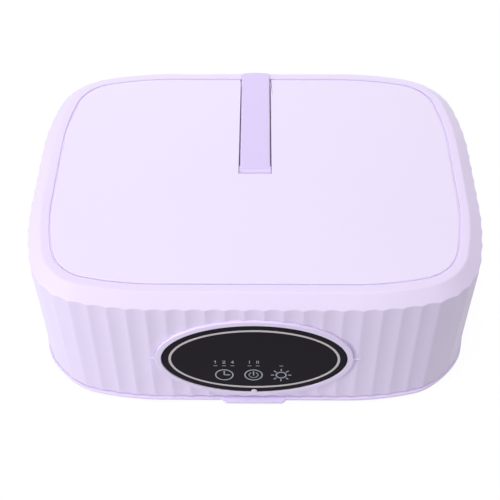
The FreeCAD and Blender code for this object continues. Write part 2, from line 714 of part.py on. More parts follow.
posts = [rod(f"post{n}", "dims.post_radius", f"{seat_back} - {board_face} + dims.seat_thick / 2",
         (*spot, board_face)) for n, spot in enumerate(post_spots)]
pip_y = f"(dims.pip_radius / 3 - {panel_half_height})"
pip = rod("pip", "dims.pip_radius", "dims.panel_thick", ("0", pip_y, panel_back))
post_bores = [rod(f"post_bore{n}", screw_hole, above(f"{seat_back} - {board_face}"),
              (*spot, below(board_face))) for n, spot in enumerate(post_spots)]
node("oval_bezel", put(cut("bezel_cut", fused("bezel_all", [bezel_body, pip] + posts), post_bores), front))

pane = oval("pane", f"{panel_half_width} - dims.panel_clear", f"{panel_half_height} - dims.panel_clear",
            panel_back, panel_face)
pip_room = rod("pip_room", "dims.pip_radius + dims.panel_clear", through("dims.panel_thick"),
               ("0", pip_y, below(panel_back)))
node("touch_panel", put(cut("pane_cut", pane, [pip_room]), front))

trim_half_width = f"({panel_half_width} - dims.trim_inset)"
trim_half_height = f"({panel_half_height} - dims.trim_inset)"
trim_face = f"({panel_face} + dims.trim_proud)"
trim_outer = oval("trim_outer", trim_half_width, trim_half_height, panel_face, trim_face)
trim_inner = oval("trim_inner", f"{trim_half_width} - dims.trim_width",
                  f"{trim_half_height} - dims.trim_width", below(panel_face), above(trim_face))
node("trim_ring", put(cut("trim_cut", trim_outer, [trim_inner]), front))

board_back = f"({board_face} - dims.board_thick)"
board_plate = oval("board_plate", f"{panel_half_width} - dims.panel_clear",
                   f"{panel_half_height} - dims.panel_clear", board_back, board_face)
board_bores = [rod(f"board_bore{n}", screw_hole, through("dims.board_thick"), (*spot, below(board_back)))
               for n, spot in enumerate(post_spots)]
node("control_board", put(cut("board_cut", board_plate, board_bores), front))

panel_screws = []
for number, spot in enumerate(post_spots):
    head = rod(f"panel_head{number}", "dims.screw_head", "dims.screw_head_height",
               (*spot, f"{board_back} - dims.screw_head_height"))
    shank = rod(f"panel_shank{number}", "dims.screw_radius", "dims.board_thick + dims.screw_bite",
                (*spot, board_back))
    panel_screws.append(fused(f"panel_screw{number}", [head, shank]))
node("board_screws", put(group("panel_screws", panel_screws), front))

springs = [rod(f"spring{n}", "dims.spring_radius", f"{panel_back} - {board_face}",
           (f"{n - 1} * dims.key_pitch", "-dims.key_drop", board_face)) for n in range(3)]
node("touch_springs", put(group("springs", springs), front))

led_columns = (-5, -4, -3, 0, 1, 4)
leds = [centred_block(f"led{n}", ("dims.led_width", "dims.led_width", f"{panel_back} - {board_face}"),
        (f"{column} * dims.led_pitch", "-dims.led_drop"), board_face) for n, column in enumerate(led_columns)]
node("indicator_leds", put(group("leds", leds), front))


# Outlet plate: floor of the housing, with the warm air grille and the board's standoffs

plate_out = wall_out(num(plate_foot)) - dim("flute_depth") - dim("wall") - dim("plate_clear")
plate_blank = coded("plate_blank", slab(plate_out, num(plate_foot), num(plate_top)))
supply_x = f"(-{fan_half} - dims.supply_gap - dims.supply_width / 2)"
supply_spots = []
for side_x in (-1, 1):
    for side_y in (-1, 1):
        supply_spots.append((f"{supply_x} + {side_x} * (dims.supply_width / 2 - dims.supply_hole_inset)",
                             f"{side_y} * (dims.supply_depth / 2 - dims.supply_hole_inset)"))
standoffs = [rod(f"standoff{n}", "dims.standoff_radius", "dims.supply_lift", (*spot, plate_top))
             for n, spot in enumerate(supply_spots)]
plate_body = fused("plate_body", [plate_blank] + standoffs)
notch_y = "(-1.5 * dims.half_depth - dims.bag_out - dims.bag_gap)"
notch_width = "2 * (dims.bezel_half_width + dims.notch_clear)"
panel_notch = centred_block("panel_notch", (notch_width, "dims.half_depth", through("dims.plate_thick")),
                            ("0", notch_y), below(plate_foot))
grille_rows = 9
heater_inner = "(dims.fan_bore - dims.heater_clear - dims.heater_wall)"
grille = []
for row in range(grille_rows):
    across = f"({row - (grille_rows - 1) / 2} * dims.grille_pitch)"
    chord = f"2 * sqrt({heater_inner} ^ 2 - {across} ^ 2) - dims.grille_width"
    grille.append(centred_block(f"grille{row}", (chord, "dims.grille_width", through("dims.plate_thick")),
                  ("0", across), below(plate_foot)))
standoff_bores = [rod(f"standoff_bore{n}", screw_hole, "dims.supply_lift", (*spot, above(plate_top)))
                  for n, spot in enumerate(supply_spots)]
plate_bores = holes("plate_hole", plate_spots + clamp_spots, below(plate_foot), through("dims.plate_thick"))
node("outlet_plate", cut("plate_cut", plate_body, [panel_notch] + grille + standoff_bores + plate_bores))
node("plate_screws", screws("plate_screw", plate_spots, plate_foot, "dims.plate_thick + dims.screw_bite", 1))


# Hanging rails and lamps below the plate

rails = []
for side in (-1, 1):
    rail_y = f"{side} * dims.rail_spread / 2"
    rail_z = f"({plate_foot} - dims.rail_drop)"
    bar = rod(f"rail_bar{side + 1}", "dims.rail_radius", "dims.rail_length",
              ("-dims.rail_length / 2", rail_y, rail_z), "x")
    post = ("dims.rail_post", "dims.rail_post", "dims.rail_drop")
    ends = [centred_block(f"rail_post{side + 1}{end + 1}", post,
            (f"{end} * (dims.rail_length - 3 * dims.rail_post) / 2", rail_y), rail_z) for end in (-1, 1)]
    rails.append(fused(f"rail{side + 1}", [bar] + ends))
node("hanging_rails", group("rails", rails))

lamps = []
lenses = []
chip_count = 5
for side in (-1, 1):
    lamp_x = f"{side} * dims.lamp_spread / 2"
    plate = centred_block(f"lamp_plate{side + 1}", ("dims.lamp_width", "dims.lamp_length",
                          "dims.board_thick"), (lamp_x, "0"), f"{plate_foot} - dims.board_thick")
    chips = [centred_block(f"chip{side + 1}{n}", ("dims.lamp_chip", "dims.lamp_chip", "dims.chip_height"),
             (lamp_x, f"{n - (chip_count - 1) / 2} * dims.lamp_length / {chip_count}"),
             f"{plate_foot} - dims.board_thick - dims.chip_height") for n in range(chip_count)]
    lamps.append(fused(f"lamp{side + 1}", [plate] + chips))
    room = ("dims.lamp_width + 2 * dims.lens_clear", "dims.lamp_length + 2 * dims.lens_clear")
    outer = tuple(f"{length} + 2 * dims.lens_wall" for length in room)
    shade = centred_block(f"shade{side + 1}", (*outer, "dims.lens_height"), (lamp_x, "0"),
                          f"{plate_foot} - dims.lens_height")
    hollow = centred_block(f"shade_room{side + 1}", (*room, "dims.lens_height"), (lamp_x, "0"),
                           f"{plate_foot} - dims.lens_height + dims.lens_wall")
    lenses.append(cut(f"lens{side + 1}", shade, [hollow]))
node("uv_boards", group("lamps", lamps))
node("uv_lenses", group("lenses", lenses))


# Duct, heater and fan

fan_square = ("dims.fan_width", "dims.fan_width")
fan_spots = []
for side_x in (-1, 1):
    for side_y in (-1, 1):
        inset = f"({fan_half} - dims.fan_hole_inset)"
        fan_spots.append((num(f"{side_x} * {inset}"), num(f"{side_y} * {inset}")))
duct_blank = centred_block("duct_blank", (*fan_square, "dims.duct_height"), centre, plate_top)
duct_bore = rod("duct_bore", "dims.fan_bore", through("dims.duct_height"), (*centre, below(plate_top)))
duct_holes = holes("duct_hole", fan_spots, f"{fan_foot} - 2 * dims.screw_bite", "3 * dims.screw_bite")
node("air_duct", cut("duct_cut", duct_blank, [duct_bore] + duct_holes))

heater_outer = "(dims.fan_bore - dims.heater_clear)"
heater_top = f"({plate_top} + dims.heater_height)"
heater_ring = rod("heater_ring", heater_outer, "dims.heater_height", (*centre, plate_top))
heater_bore = rod("heater_bore", heater_inner, through("dims.heater_height"), (*centre, below(plate_top)))
node("heater_frame", cut("heater_cut", heater_ring, [heater_bore]))

fin_low = f"({heater_top} - dims.fin_height)"
fin_count = 2 * math.floor(num(heater_inner) / dim("fin_pitch")) - 1
fins = [centred_block(f"fin{n}", ("dims.fin_thick", f"2 * {heater_inner}", "dims.fin_height"),
        (f"{n - (fin_count - 1) / 2} * dims.fin_pitch", "0"), fin_low) for n in range(fin_count)]
bars = [centred_block(f"bar{n}", (f"2 * {heater_inner}", "dims.bar_thick", "dims.fin_height"),
        ("0", f"{n - 1} * dims.bar_spread"), fin_low) for n in range(3)]
fin_round = rod("fin_round", f"{heater_inner} - dims.core_clear", "dims.fin_height", (*centre, fin_low))
node("heater_core", common("core_common", fused("core_grid", fins + bars), fin_round))
fuse_at = ("-dims.fuse_length / 2", f"{heater_inner} + dims.heater_wall / 2",
           f"{heater_top} + dims.fuse_radius")
node("thermal_fuse", rod("fuse", "dims.fuse_radius", "dims.fuse_length", fuse_at, "x"))

frame_blank = centred_block("frame_blank", (*fan_square, "dims.fan_depth"), centre, fan_foot)
frame_bore = rod("frame_bore", "dims.fan_bore", through("dims.fan_depth"), (*centre, below(fan_foot)))
frame_ring = cut("frame_ring", frame_blank, [frame_bore])
strut_length = "(2 * (dims.fan_bore + dims.overcut))"
strut_x = centred_block("strut_x", (strut_length, "dims.strut_width", "dims.strut_thick"), centre, fan_foot)
strut_y = centred_block("strut_y", ("dims.strut_width", strut_length, "dims.strut_thick"), centre, fan_foot)
strut_hub = rod("strut_hub", "dims.motor_radius + dims.hub_wall", "dims.strut_thick", (*centre, fan_foot))
frame_body = fused("frame_body", [frame_ring, strut_x, strut_y, strut_hub])
frame_holes = holes("frame_hole", fan_spots, below(fan_foot), through("dims.fan_depth"))
node("fan_frame", cut("frame_cut", frame_body, frame_holes))
node("fan_screws", screws("fan_screw", fan_spots, fan_top, "dims.fan_depth + dims.screw_bite", -1))

motor_foot = f"({fan_foot} + dims.strut_thick)"
motor_top = f"({motor_foot} + dims.motor_height)"
hub_foot = f"({motor_foot} + dims.hub_clear)"
hub_top = f"({motor_top} + dims.hub_clear + 2 * dims.hub_wall)"
stator = rod("stator", "dims.motor_radius", "dims.motor_height", (*centre, motor_foot))
shaft = rod("shaft", "dims.shaft_radius", f"{hub_top} - {motor_top}", (*centre, motor_top))
node("fan_motor", fused("motor_fuse", [stator, shaft]))


def impeller_shape():
    low, high = num(hub_foot), num(hub_top)
    hub = Part.makeCylinder(dim("fan_hub"), high - low, FreeCAD.Vector(0, 0, low))
    room_height = num(motor_top) + dim("hub_clear") - low
    room = Part.makeCylinder(dim("fan_hub") - dim("hub_wall"), room_height, FreeCAD.Vector(0, 0, low))
    tip = dim("fan_bore") - dim("tip_clear")
    ring_room = Part.makeCylinder(tip, high - low, FreeCAD.Vector(0, 0, low))
    chord, thick = dim("blade_chord"), dim("blade_thick")
    root = dim("fan_hub") - dim("hub_wall") / 2
    blade_count = 7
    blades = []
    for number in range(blade_count):
        blade = Part.makeBox(tip, chord, thick, FreeCAD.Vector(root, -chord / 2, -thick / 2))
        blade.rotate(FreeCAD.Vector(), FreeCAD.Vector(1, 0, 0), dim("blade_pitch"))
        blade.rotate(FreeCAD.Vector(), FreeCAD.Vector(0, 0, 1), 360 * number / blade_count)
        blade.translate(FreeCAD.Vector(0, 0, (low + high) / 2))
        blades.append(blade.common(ring_room))
    bore_radius = dim("shaft_radius") + dim("shaft_clear")
    past = dim("overcut")
    bore = Part.makeCylinder(bore_radius, high - low + 2 * past, FreeCAD.Vector(0, 0, low - past))
    return hub.fuse(blades).cut([room, bore])


node("impeller", coded("impeller_blank", impeller_shape()))


# Power board beside the fan, on the plate's standoffs

supply_low = f"({plate_top} + dims.supply_lift)"
supply_top = f"({supply_low} + dims.board_thick)"
supply_plate = centred_block("supply_plate", ("dims.supply_width", "dims.supply_depth", "dims.board_thick"),
                             (supply_x, "0"), supply_low)
supply_bores = [rod(f"supply_bore{n}", screw_hole, through("dims.board_thick"), (*spot, below(supply_low)))
                for n, spot in enumerate(supply_spots)]
node("power_board", cut("supply_cut", supply_plate, supply_bores))

supply_screws = []
for number, spot in enumerate(supply_spots):
    head = rod(f"supply_head{number}", "dims.screw_head", "dims.screw_head_height", (*spot, supply_top))
    shank = rod(f"supply_shank{number}", "dims.screw_radius", "dims.board_thick + dims.screw_bite",
                (*spot, f"{supply_low} - dims.screw_bite"))
    supply_screws.append(fused(f"supply_screw{number}", [head, shank]))
node("power_board_screws", group("supply_screws", supply_screws))

# Each with its width, depth and height, or radius and height, and its place from the board's middle
boxes = [("transformer", 26, 24, 20, 8, 30), ("relay", 15, 19, 15, -14, 30),
         ("film_capacitor", 18, 8, 14, 8, 6), ("terminal_row", 10, 30, 10, -18, -34),
         ("heat_sink", 4, 30, 22, 18, -30)]
cans = [("large_can", 6, 20, -12, 4), ("small_can", 4, 12, 0, -14), ("second_can", 4, 12, 0, -30)]
board_pieces = []
for label, wide, deep, tall, x, y in boxes:
    board_pieces.append(centred_block(label, (str(wide), str(deep), str(tall)), (f"{supply_x} + {x}", str(y)),
                                      supply_top))
for label, radius, tall, x, y in cans:
    board_pieces.append(rod(label, str(radius), str(tall), (f"{supply_x} + {x}", str(y), supply_top)))
node("board_parts", group("board_pieces", board_pieces))


# Rear wall: air intake with its filter, and the mains socket

intake_flange = centred_block("intake_flange", ("dims.intake_width", "dims.intake_height",
                              "dims.bezel_proud + dims.flute_depth"), centre, "-dims.flute_depth")
intake_foot = "(-dims.flute_depth - dims.intake_depth)"
intake_body = centred_block("intake_body", ("dims.intake_width - 2 * dims.intake_step",
                            "dims.intake_height - 2 * dims.intake_step", "dims.intake_depth"),
                            centre, intake_foot)
slot_count = 2 * math.floor((dim("intake_width") / 2 - dim("intake_margin")) / dim("intake_pitch")) + 1
intake_thick = "dims.intake_depth + dims.flute_depth + dims.bezel_proud"
intake_slots = [centred_block(f"intake_slot{n}", ("dims.intake_slot",
                "dims.intake_height - 2 * dims.intake_margin", through(intake_thick)),
                (f"{n - (slot_count - 1) / 2} * dims.intake_pitch", "0"), below(intake_foot))
                for n in range(slot_count)]
intake_plug = fused("intake_plug", [intake_flange, intake_body])
node("intake_grille", put(cut("intake_cut", intake_plug, intake_slots), rear))
filter_pad = centred_block("filter_pad", ("dims.intake_width - 2 * dims.intake_step - 2 * dims.filter_clear",
                           "dims.intake_height - 2 * dims.intake_step - 2 * dims.filter_clear",
                           "dims.filter_thick"), centre, f"{intake_foot} - dims.filter_thick")
node("intake_filter", put(group("filter_group", [filter_pad]), rear))

socket_plate = centred_block("socket_plate", (socket_outer_width, socket_outer_height,
                             "dims.flute_depth + dims.trim_proud"), centre, "-dims.flute_depth")
socket_body = centred_block("socket_body", ("dims.socket_width", "dims.socket_height", "dims.socket_depth"),
                            centre, "-dims.socket_depth")
socket_room = centred_block("socket_room", ("dims.socket_width - 2 * dims.socket_wall",
                            "dims.socket_height - 2 * dims.socket_wall",
                            above("dims.socket_recess + dims.trim_proud")), centre, "-dims.socket_recess")
socket_hollow = cut("socket_hollow", fused("socket_blank", [socket_plate, socket_body]), [socket_room])
socket_pins = [rod(f"socket_pin{side + 1}", "dims.socket_pin", "dims.socket_pin_length",
               (f"{side} * dims.socket_pin_pitch / 2", "0", below("-dims.socket_recess")))
               for side in (-1, 1)]
node("power_inlet", put(fused("socket_all", [socket_hollow] + socket_pins), socket_frame))


# Check every object, then write each piece

doc.recompute()
faults = [made.Name for made in doc.Objects if {"Invalid", "Error"} & set(made.State)]
faults += [made.Label for made in nodes if made.Shape.isNull() or not made.Shape.isValid()]
if faults:
    raise RuntimeError("failed objects: " + ", ".join(faults))

os.makedirs("parts", exist_ok=True)
for made in nodes:
    made.Shape.exportStep(os.path.join("parts", made.Label + ".step"))
    print(made.Label, len(made.Shape.Solids), round(made.Shape.Volume, 1))
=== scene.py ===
import bmesh
import bpy
import json
from math import asin, atan, atan2, cos, pi, radians, sin
from mathutils import Matrix, Vector


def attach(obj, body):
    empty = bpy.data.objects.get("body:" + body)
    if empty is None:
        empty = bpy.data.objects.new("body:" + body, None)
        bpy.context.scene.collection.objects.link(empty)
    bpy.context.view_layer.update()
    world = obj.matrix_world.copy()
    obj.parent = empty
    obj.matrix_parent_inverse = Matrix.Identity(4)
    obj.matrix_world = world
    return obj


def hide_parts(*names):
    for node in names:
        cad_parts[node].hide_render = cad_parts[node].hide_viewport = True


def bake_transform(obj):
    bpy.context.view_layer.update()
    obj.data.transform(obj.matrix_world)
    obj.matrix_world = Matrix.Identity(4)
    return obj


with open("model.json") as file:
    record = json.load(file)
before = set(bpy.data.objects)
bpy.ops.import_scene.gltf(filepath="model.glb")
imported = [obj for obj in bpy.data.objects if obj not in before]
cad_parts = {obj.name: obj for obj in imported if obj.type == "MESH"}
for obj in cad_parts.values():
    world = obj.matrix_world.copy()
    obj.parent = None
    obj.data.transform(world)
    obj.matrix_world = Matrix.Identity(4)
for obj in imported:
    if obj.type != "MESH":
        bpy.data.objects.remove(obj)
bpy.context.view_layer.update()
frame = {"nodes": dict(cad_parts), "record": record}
mm = 0.001
nearly = 0.001 * mm
weldGap = 0.0001 * mm
print("frame loaded with", len(frame["nodes"]), "nodes")


# Shader maths: a socket that takes part in Python expressions, and a material that makes nodes

class Signal:
    def __init__(self, finish, socket):
        self.finish = finish
        self.socket = socket

    def maths(self, operation, first, second):
        return self.finish.node("ShaderNodeMath", {"operation": operation}, {0: first, 1: second})

    def __add__(self, other):
        return self.maths("ADD", self, other)

    def __radd__(self, other):
        return self.maths("ADD", other, self)

    def __sub__(self, other):
        return self.maths("SUBTRACT", self, other)

    def __rsub__(self, other):
        return self.maths("SUBTRACT", other, self)

    def __mul__(self, other):
        return self.maths("MULTIPLY", self, other)

    def __rmul__(self, other):
        return self.maths("MULTIPLY", other, self)

    def larger(self, other):
        return self.maths("MAXIMUM", self, other)


class NodeBench:
    def __init__(self, tree):
        self.tree = tree

    def node(self, kind, settings, values, output=0):
        made = self.tree.nodes.new(kind)
        for key, value in settings.items():
            setattr(made, key, value)
        self.feed(made, values)
        return Signal(self, made.outputs[output])

    def feed(self, made, values):
        for key, value in values.items():
            if isinstance(value, Signal):
                self.tree.links.new(value.socket, made.inputs[key])
            else:
                made.inputs[key].default_value = value

    def tint(self, factor, first, second):
        return self.node("ShaderNodeMix", {"data_type": "RGBA"}, {0: factor, 6: first, 7: second}, 2)

    def backdropRays(self):
    # rays that should find the white backdrop: the camera's, and those off metal or through glass
        kinds = ("Camera", "Glossy", "Transmission")
        camera, glossy, through = (self.node("ShaderNodeLightPath", {}, {}, f"Is {kind} Ray")
                                   for kind in kinds)
        return camera.larger(glossy).larger(through)


class Finish(NodeBench):
    def __init__(self, name):
        self.name = name
        self.material = bpy.data.materials.new(name)
        self.material.use_nodes = True
        super().__init__(self.material.node_tree)
        self.shader = self.tree.nodes["Principled BSDF"]
        self.place = self.node("ShaderNodeTexCoord", {}, {}, "Object")

    def surface(self, values):
        self.feed(self.shader, values)
        return self

    def noise(self, scale, detail=2.0, place=None):
        values = {"Vector": place or self.place, "Scale": scale, "Detail": detail}
        return self.node("ShaderNodeTexNoise", {}, values)

    def bump(self, height, strength, distance):
        values = {"Strength": strength, "Distance": distance, "Height": height}
        return self.node("ShaderNodeBump", {}, values)


def paint(red, green, blue):
    # a colour as a paint card gives it, 0 to 255, made linear
    def linear(value):
        value /= 255
        return value / 12.92 if value <= 0.04045 else ((value + 0.055) / 1.055) ** 2.4
    return (linear(red), linear(green), linear(blue), 1.0)


# Finishes: one for each material slot of the record, a paler copy of the lavender for the cover, which
# paints light on the top, and one for the ink

plasticLooks = {  # pale and deep tone, roughness, grain height, coat
    "lavender_plastic": (paint(239, 227, 255), paint(234, 220, 252), 0.42, 0.045, 0.05),
    "handle_plastic": (paint(226, 211, 252), paint(219, 203, 249), 0.40, 0.045, 0.05),
    "white_plastic": (paint(240, 238, 244), paint(231, 228, 238), 0.45, 0.06, 0.0),
    "heat_plastic": (paint(72, 68, 70), paint(60, 57, 59), 0.55, 0.10, 0.0),
    "fan_plastic": (paint(48, 48, 51), paint(38, 38, 41), 0.48, 0.08, 0.0),
    "board_part": (paint(78, 78, 86), paint(60, 60, 66), 0.45, 0.06, 0.0),
    "foot_rubber": (paint(176, 166, 190), paint(160, 150, 174), 0.80, 0.25, 0.0),
}
coverPaintedLightLook = (paint(241, 231, 255), paint(237, 226, 254), 0.44, 0.045, 0.05)  # a paler copy of the same lavender: painted light on the lit top, against the deeper shaded walls
mouldForm = {
    "flow": (7.0, 3.0),      # scale and detail of the melt's flow
    "grain": (1400.0, 2.0),  # and of the mould's grain
    "grainDepth": 0.4 * mm,
    "flowShare": 0.06,
    "grainShare": 0.10,
    "coatRoughness": 0.35,
}


def mouldedPlastic(name, look):
    pale, deep, roughness, grain, coat = look
    form = mouldForm
    finish = Finish(name)
    broad = finish.noise(*form["flow"])
    fine = finish.noise(*form["grain"])
    return finish.surface({
        "Base Color": finish.tint(broad, pale, deep),
        "Roughness": roughness + form["grainShare"] * (fine - 0.5) + form["flowShare"] * (broad - 0.5),
        "Coat Weight": coat,
        "Coat Roughness": form["coatRoughness"],
        "Normal": finish.bump(fine, grain, form["grainDepth"]),
    })


metalLooks = {  # bright and dull tone, roughness, scale of the streaks along X
    "steel": (paint(206, 206, 210), paint(176, 176, 182), 0.30, 3600.0),
    "silver_trim": (paint(190, 184, 187), paint(178, 172, 176), 0.34, 1200.0),
    "heater_fins": (paint(214, 214, 216), paint(190, 190, 194), 0.38, 2400.0),
    "spring_brass": (paint(214, 180, 112), paint(186, 150, 84), 0.32, 2400.0),
}
streakForm = {"stretch": (0.06, 1.0, 1.0), "detail": 3.0, "share": 0.16, "strength": 0.05, "depth": 0.2 * mm}


def brushedMetal(slot):
    bright, dull, roughness, brushing = metalLooks[slot]
    form = streakForm
    finish = Finish(slot)
    drawn = finish.node("ShaderNodeMapping", {}, {"Vector": finish.place, "Scale": form["stretch"]})
    streak = finish.noise(brushing, form["detail"], drawn)
    return finish.surface({
        "Base Color": finish.tint(streak, bright, dull),
        "Metallic": 1.0,
        "Roughness": roughness + form["share"] * (streak - 0.5),
        "Normal": finish.bump(streak, form["strength"], form["depth"]),
    })


def glossPanel():
    finish = Finish("black_panel")
    cloud = finish.noise(26.0, 4.0)  # a faint haze from handling
    speck = finish.noise(2200.0, 1.0)  # fine pigment
    return finish.surface({
        "Base Color": finish.tint(speck, paint(27, 22, 31), paint(33, 28, 38)),
        "Roughness": 0.24 + 0.10 * (cloud - 0.5),
        "Specular IOR Level": 0.04,
        "Normal": finish.bump(speck, 0.02, 0.1 * mm),
    })


def circuitBoard():
    finish = Finish("circuit_board")
    track = finish.node("ShaderNodeTexBrick", {"offset": 0.5}, {
        "Vector": finish.place,
        "Color1": paint(38, 104, 66),
        "Color2": paint(30, 90, 56),
        "Mortar": paint(58, 132, 84),
        "Scale": 140.0,
        "Mortar Size": 0.05,
        "Brick Width": 0.9,
        "Row Height": 0.35,
    }, "Color")
    varnish = 0.30 + 0.12 * finish.noise(300.0)
    return finish.surface({"Base Color": track, "Roughness": varnish, "Coat Weight": 0.3})


speckLooks = {  # scale and detail of the specks, two tones, roughness and its spread, the rest
    "lamp_cover": ((900.0, 2.0), (paint(236, 236, 248), paint(222, 222, 240)), (0.22, 0.15),
                   {"Transmission Weight": 0.6, "IOR": 1.49}),
    "lamp_diode": ((1500.0, 1.0), (paint(238, 238, 222), paint(220, 220, 205)), (0.16, 0.1),
                   {"Coat Weight": 0.4}),
    "panelInk": ((2600.0, 2.0), (paint(172, 178, 188), paint(150, 156, 168)), (0.45, 0.1), {}),
}


def speckled(name):
    pattern, tones, (roughness, spread), rest = speckLooks[name]
    finish = Finish(name)
    speck = finish.noise(*pattern)
    shade = {"Base Color": finish.tint(speck, *tones), "Roughness": roughness + spread * speck}
    return finish.surface({**shade, **rest})


def filterFoam():
    finish = Finish("filter_foam")
    cell = finish.node("ShaderNodeTexVoronoi", {"feature": "DISTANCE_TO_EDGE"},
                       {"Vector": finish.place, "Scale": 700.0}, "Distance")
    return finish.surface({
        "Base Color": finish.tint(cell * 3.0, paint(96, 94, 98), paint(38, 37, 40)),
        "Roughness": 0.95,
        "Normal": finish.bump(cell, 0.6, 0.8 * mm),
    })


clothLook = {
    "pale": paint(226, 216, 242),
    "deep": paint(206, 195, 227),
    "thread": 0.55 * mm,  # length of weave per radian of its wave
    "waveRate": 20,       # radians that the wave node draws for each unit of scale
    "sheen": 0.25,
}


def bagCloth():
    finish = Finish("bag_cloth")
    look = clothLook
    along = finish.node("ShaderNodeUVMap", {"uv_map": "cloth"}, {})
    threads = {}
    for axis in ("X", "Y"):  # warp and weft from the cloth's own map, in metres
        wave = {"wave_type": "BANDS", "bands_direction": axis, "wave_profile": "SIN"}
        values = {"Vector": along, "Scale": 1 / (look["thread"] * look["waveRate"])}
        threads[axis] = finish.node("ShaderNodeTexWave", wave, values, 1)
    weave = threads["X"] * threads["Y"]
    fold = finish.noise(30.0, 3.0)
    return finish.surface({
        "Base Color": finish.tint(0.5 * weave + 0.5 * fold, look["pale"], look["deep"]),
        "Roughness": 0.72 + 0.12 * weave,
        "Sheen Weight": look["sheen"],
        "Normal": finish.bump(weave + 0.6 * fold, 0.25, 0.3 * mm),
    })


finishes = {slot: mouldedPlastic(slot, look) for slot, look in plasticLooks.items()}
finishes.update({slot: brushedMetal(slot) for slot in metalLooks})
for finish in (glossPanel(), circuitBoard(), speckled("lamp_cover"), speckled("lamp_diode"), filterFoam(),
               bagCloth()):
    finishes[finish.name] = finish
panelInk = speckled("panelInk")
# the cover's paler copy of the lavender: painted light on the top
coverPaintedLightPlastic = mouldedPlastic("cover_plastic_painted_light", coverPaintedLightLook)

for part in frame["record"]["subparts"]:  # every CAD node gets its slot's finish
    node = frame["nodes"][part["node"]]
    node.data.materials.clear()
    node.data.materials.append(finishes[part["material_slot"]].material)
print("finishes made:", len(finishes))


# Mesh tools shared by the pieces

lavender = "lavender_plastic"


def placed(name, data):
    made = bpy.data.objects.new(name, data)
    bpy.context.scene.collection.objects.link(made)
    return made


def meshObject(name, bm):
    mesh = bpy.data.meshes.new(name)
    bm.to_mesh(mesh)
    bm.free()
    return placed(name, mesh)


def finishPiece(name, bm, body, slot, replaced=(), sharp=32.0, material=None, even=True):
    piece = meshObject(name, bm)
    piece.data.shade_smooth()
    piece.data.set_sharp_from_angle(angle=radians(sharp))
    piece.data.materials.append((material or finishes[slot]).material)
    if body:
        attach(piece, body)
    if replaced:
        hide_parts(*replaced)
    if even:  # flat faces stay flat in shade beside rounded edges
        piece.modifiers.new("evenShading", "WEIGHTED_NORMAL").keep_sharp = True
    return piece


def carve(bm, tools, operation="DIFFERENCE"):
    held = meshObject("held", bm)
    cutters = [meshObject("cutter", tool) for tool in tools]
    for cutter in cutters:
        step = held.modifiers.new("carve", "BOOLEAN")
        step.operation = operation
        step.solver = "EXACT"
        step.object = cutter
    carved = bmesh.new()
    carved.from_object(held, bpy.context.evaluated_depsgraph_get())
    for made in [held] + cutters:
        bpy.data.meshes.remove(made.data)  # its object goes with it
    return carved


def softCorners(points, softness, steps=6):
    # a closed line of points in which each corner that has a softness becomes a short curve
    line = []
    for number, (point, soft) in enumerate(zip(points, softness)):
        corner = Vector(point)
        if not soft:
            line.append(corner)
            continue
        before = Vector(points[number - 1]) - corner
        after = Vector(points[(number + 1) % len(points)]) - corner
        start, end = corner + before.normalized() * soft, corner + after.normalized() * soft
        for step in range(steps + 1):
            part = step / steps
            line.append(start.lerp(corner, part).lerp(corner.lerp(end, part), part))
    return line


def softProfile(corners):
    # the same from pairs of a point and its softness
    return softCorners(*zip(*corners))


def flipped(corners):
    # the other half of such a line
    return [((-x, y), soft) for (x, y), soft in corners[::-1]]


def ringEdges(bm, ring):
    return [bm.edges.get(pair) for pair in zip(ring, ring[1:] + ring[:1])]


def nextRing(bm, ring):
    fresh = {item for item in bmesh.ops.extrude_edge_only(bm, edges=ringEdges(bm, ring))["geom"]
             if isinstance(item, bmesh.types.BMVert)}
    return [next(edge.other_vert(vert) for edge in vert.link_edges if edge.other_vert(vert) in fresh)
            for vert in ring]


def stackRings(bm, rings):
    # one ring of edges extruded through all the others
    made = [bmesh.ops.create_circle(bm, segments=len(rings[0]), radius=1.0)["verts"]]
    while len(made) < len(rings):
        made.append(nextRing(bm, made[-1]))
    for ring, points in zip(made, rings):
        for vert, point in zip(ring, points):
            vert.co = point
    return made


def loftRings(rings, closed=False):
    # stacked rings, closed into a tube or capped
    bm = bmesh.new()
    made = stackRings(bm, rings + rings[:1] if closed else rings)
    if closed:
        bmesh.ops.remove_doubles(bm, verts=bm.verts, dist=weldGap)
    else:
        for end in (made[0], made[-1]):
            bmesh.ops.edgeloop_fill(bm, edges=ringEdges(bm, end))
    bmesh.ops.recalc_face_normals(bm, faces=bm.faces)
    return bm


def arcPoints(centre, radius, first, last, count):
    angles = [radians(first + (last - first) * number / count) for number in range(count + 1)]
    return [(centre[0] + radius * sin(angle), centre[1] + radius * cos(angle)) for angle in angles]


def roundAngles(count):
    return [2 * pi * number / count for number in range(count)]


def levelRing(outline, z):
    return [Vector((x, y, z)) for x, y in outline]


def turnedPart(centre, profile, count, closed=False):
    # a round part from radii and heights
    return loftRings([levelRing(arcPoints(centre, radius, 0, 360, count)[:-1], z) for radius, z in profile],
                     closed)


def prism(outline, low, high):
    # a flat outline in X and Y, extruded from one height to the other
    return loftRings([levelRing(outline, low), levelRing(outline, high)])


def boxPrism(middle, halves, low, high, soft=0.0):
    (x, y), (wide, deep) = middle, halves
    corners = [(x - wide, y - deep), (x + wide, y - deep), (x + wide, y + deep), (x - wide, y + deep)]
    return prism(softCorners(corners, [soft] * 4), low, high)


def joined(parts):
    whole = bmesh.new()
    for part in parts:
        mesh = bpy.data.meshes.new("part")
        part.to_mesh(mesh)
        part.free()
        whole.from_mesh(mesh)
        bpy.data.meshes.remove(mesh)
    return whole


def moved(bm, matrix):
    bmesh.ops.transform(bm, matrix=matrix, verts=bm.verts)
    return bm


def softEdges(bm, edges, offset, segments=3):
    bmesh.ops.bevel(bm, geom=edges, offset=offset, segments=segments, profile=0.5, affect="EDGES",
                    material=-1)


def edgesWhere(bm, fits):
    # the edges whose two ends fit
    return [edge for edge in bm.edges if fits(*(vert.co for vert in edge.verts))]


# The box's outline: on each side a straight, a large radius, the corner radius and a large radius

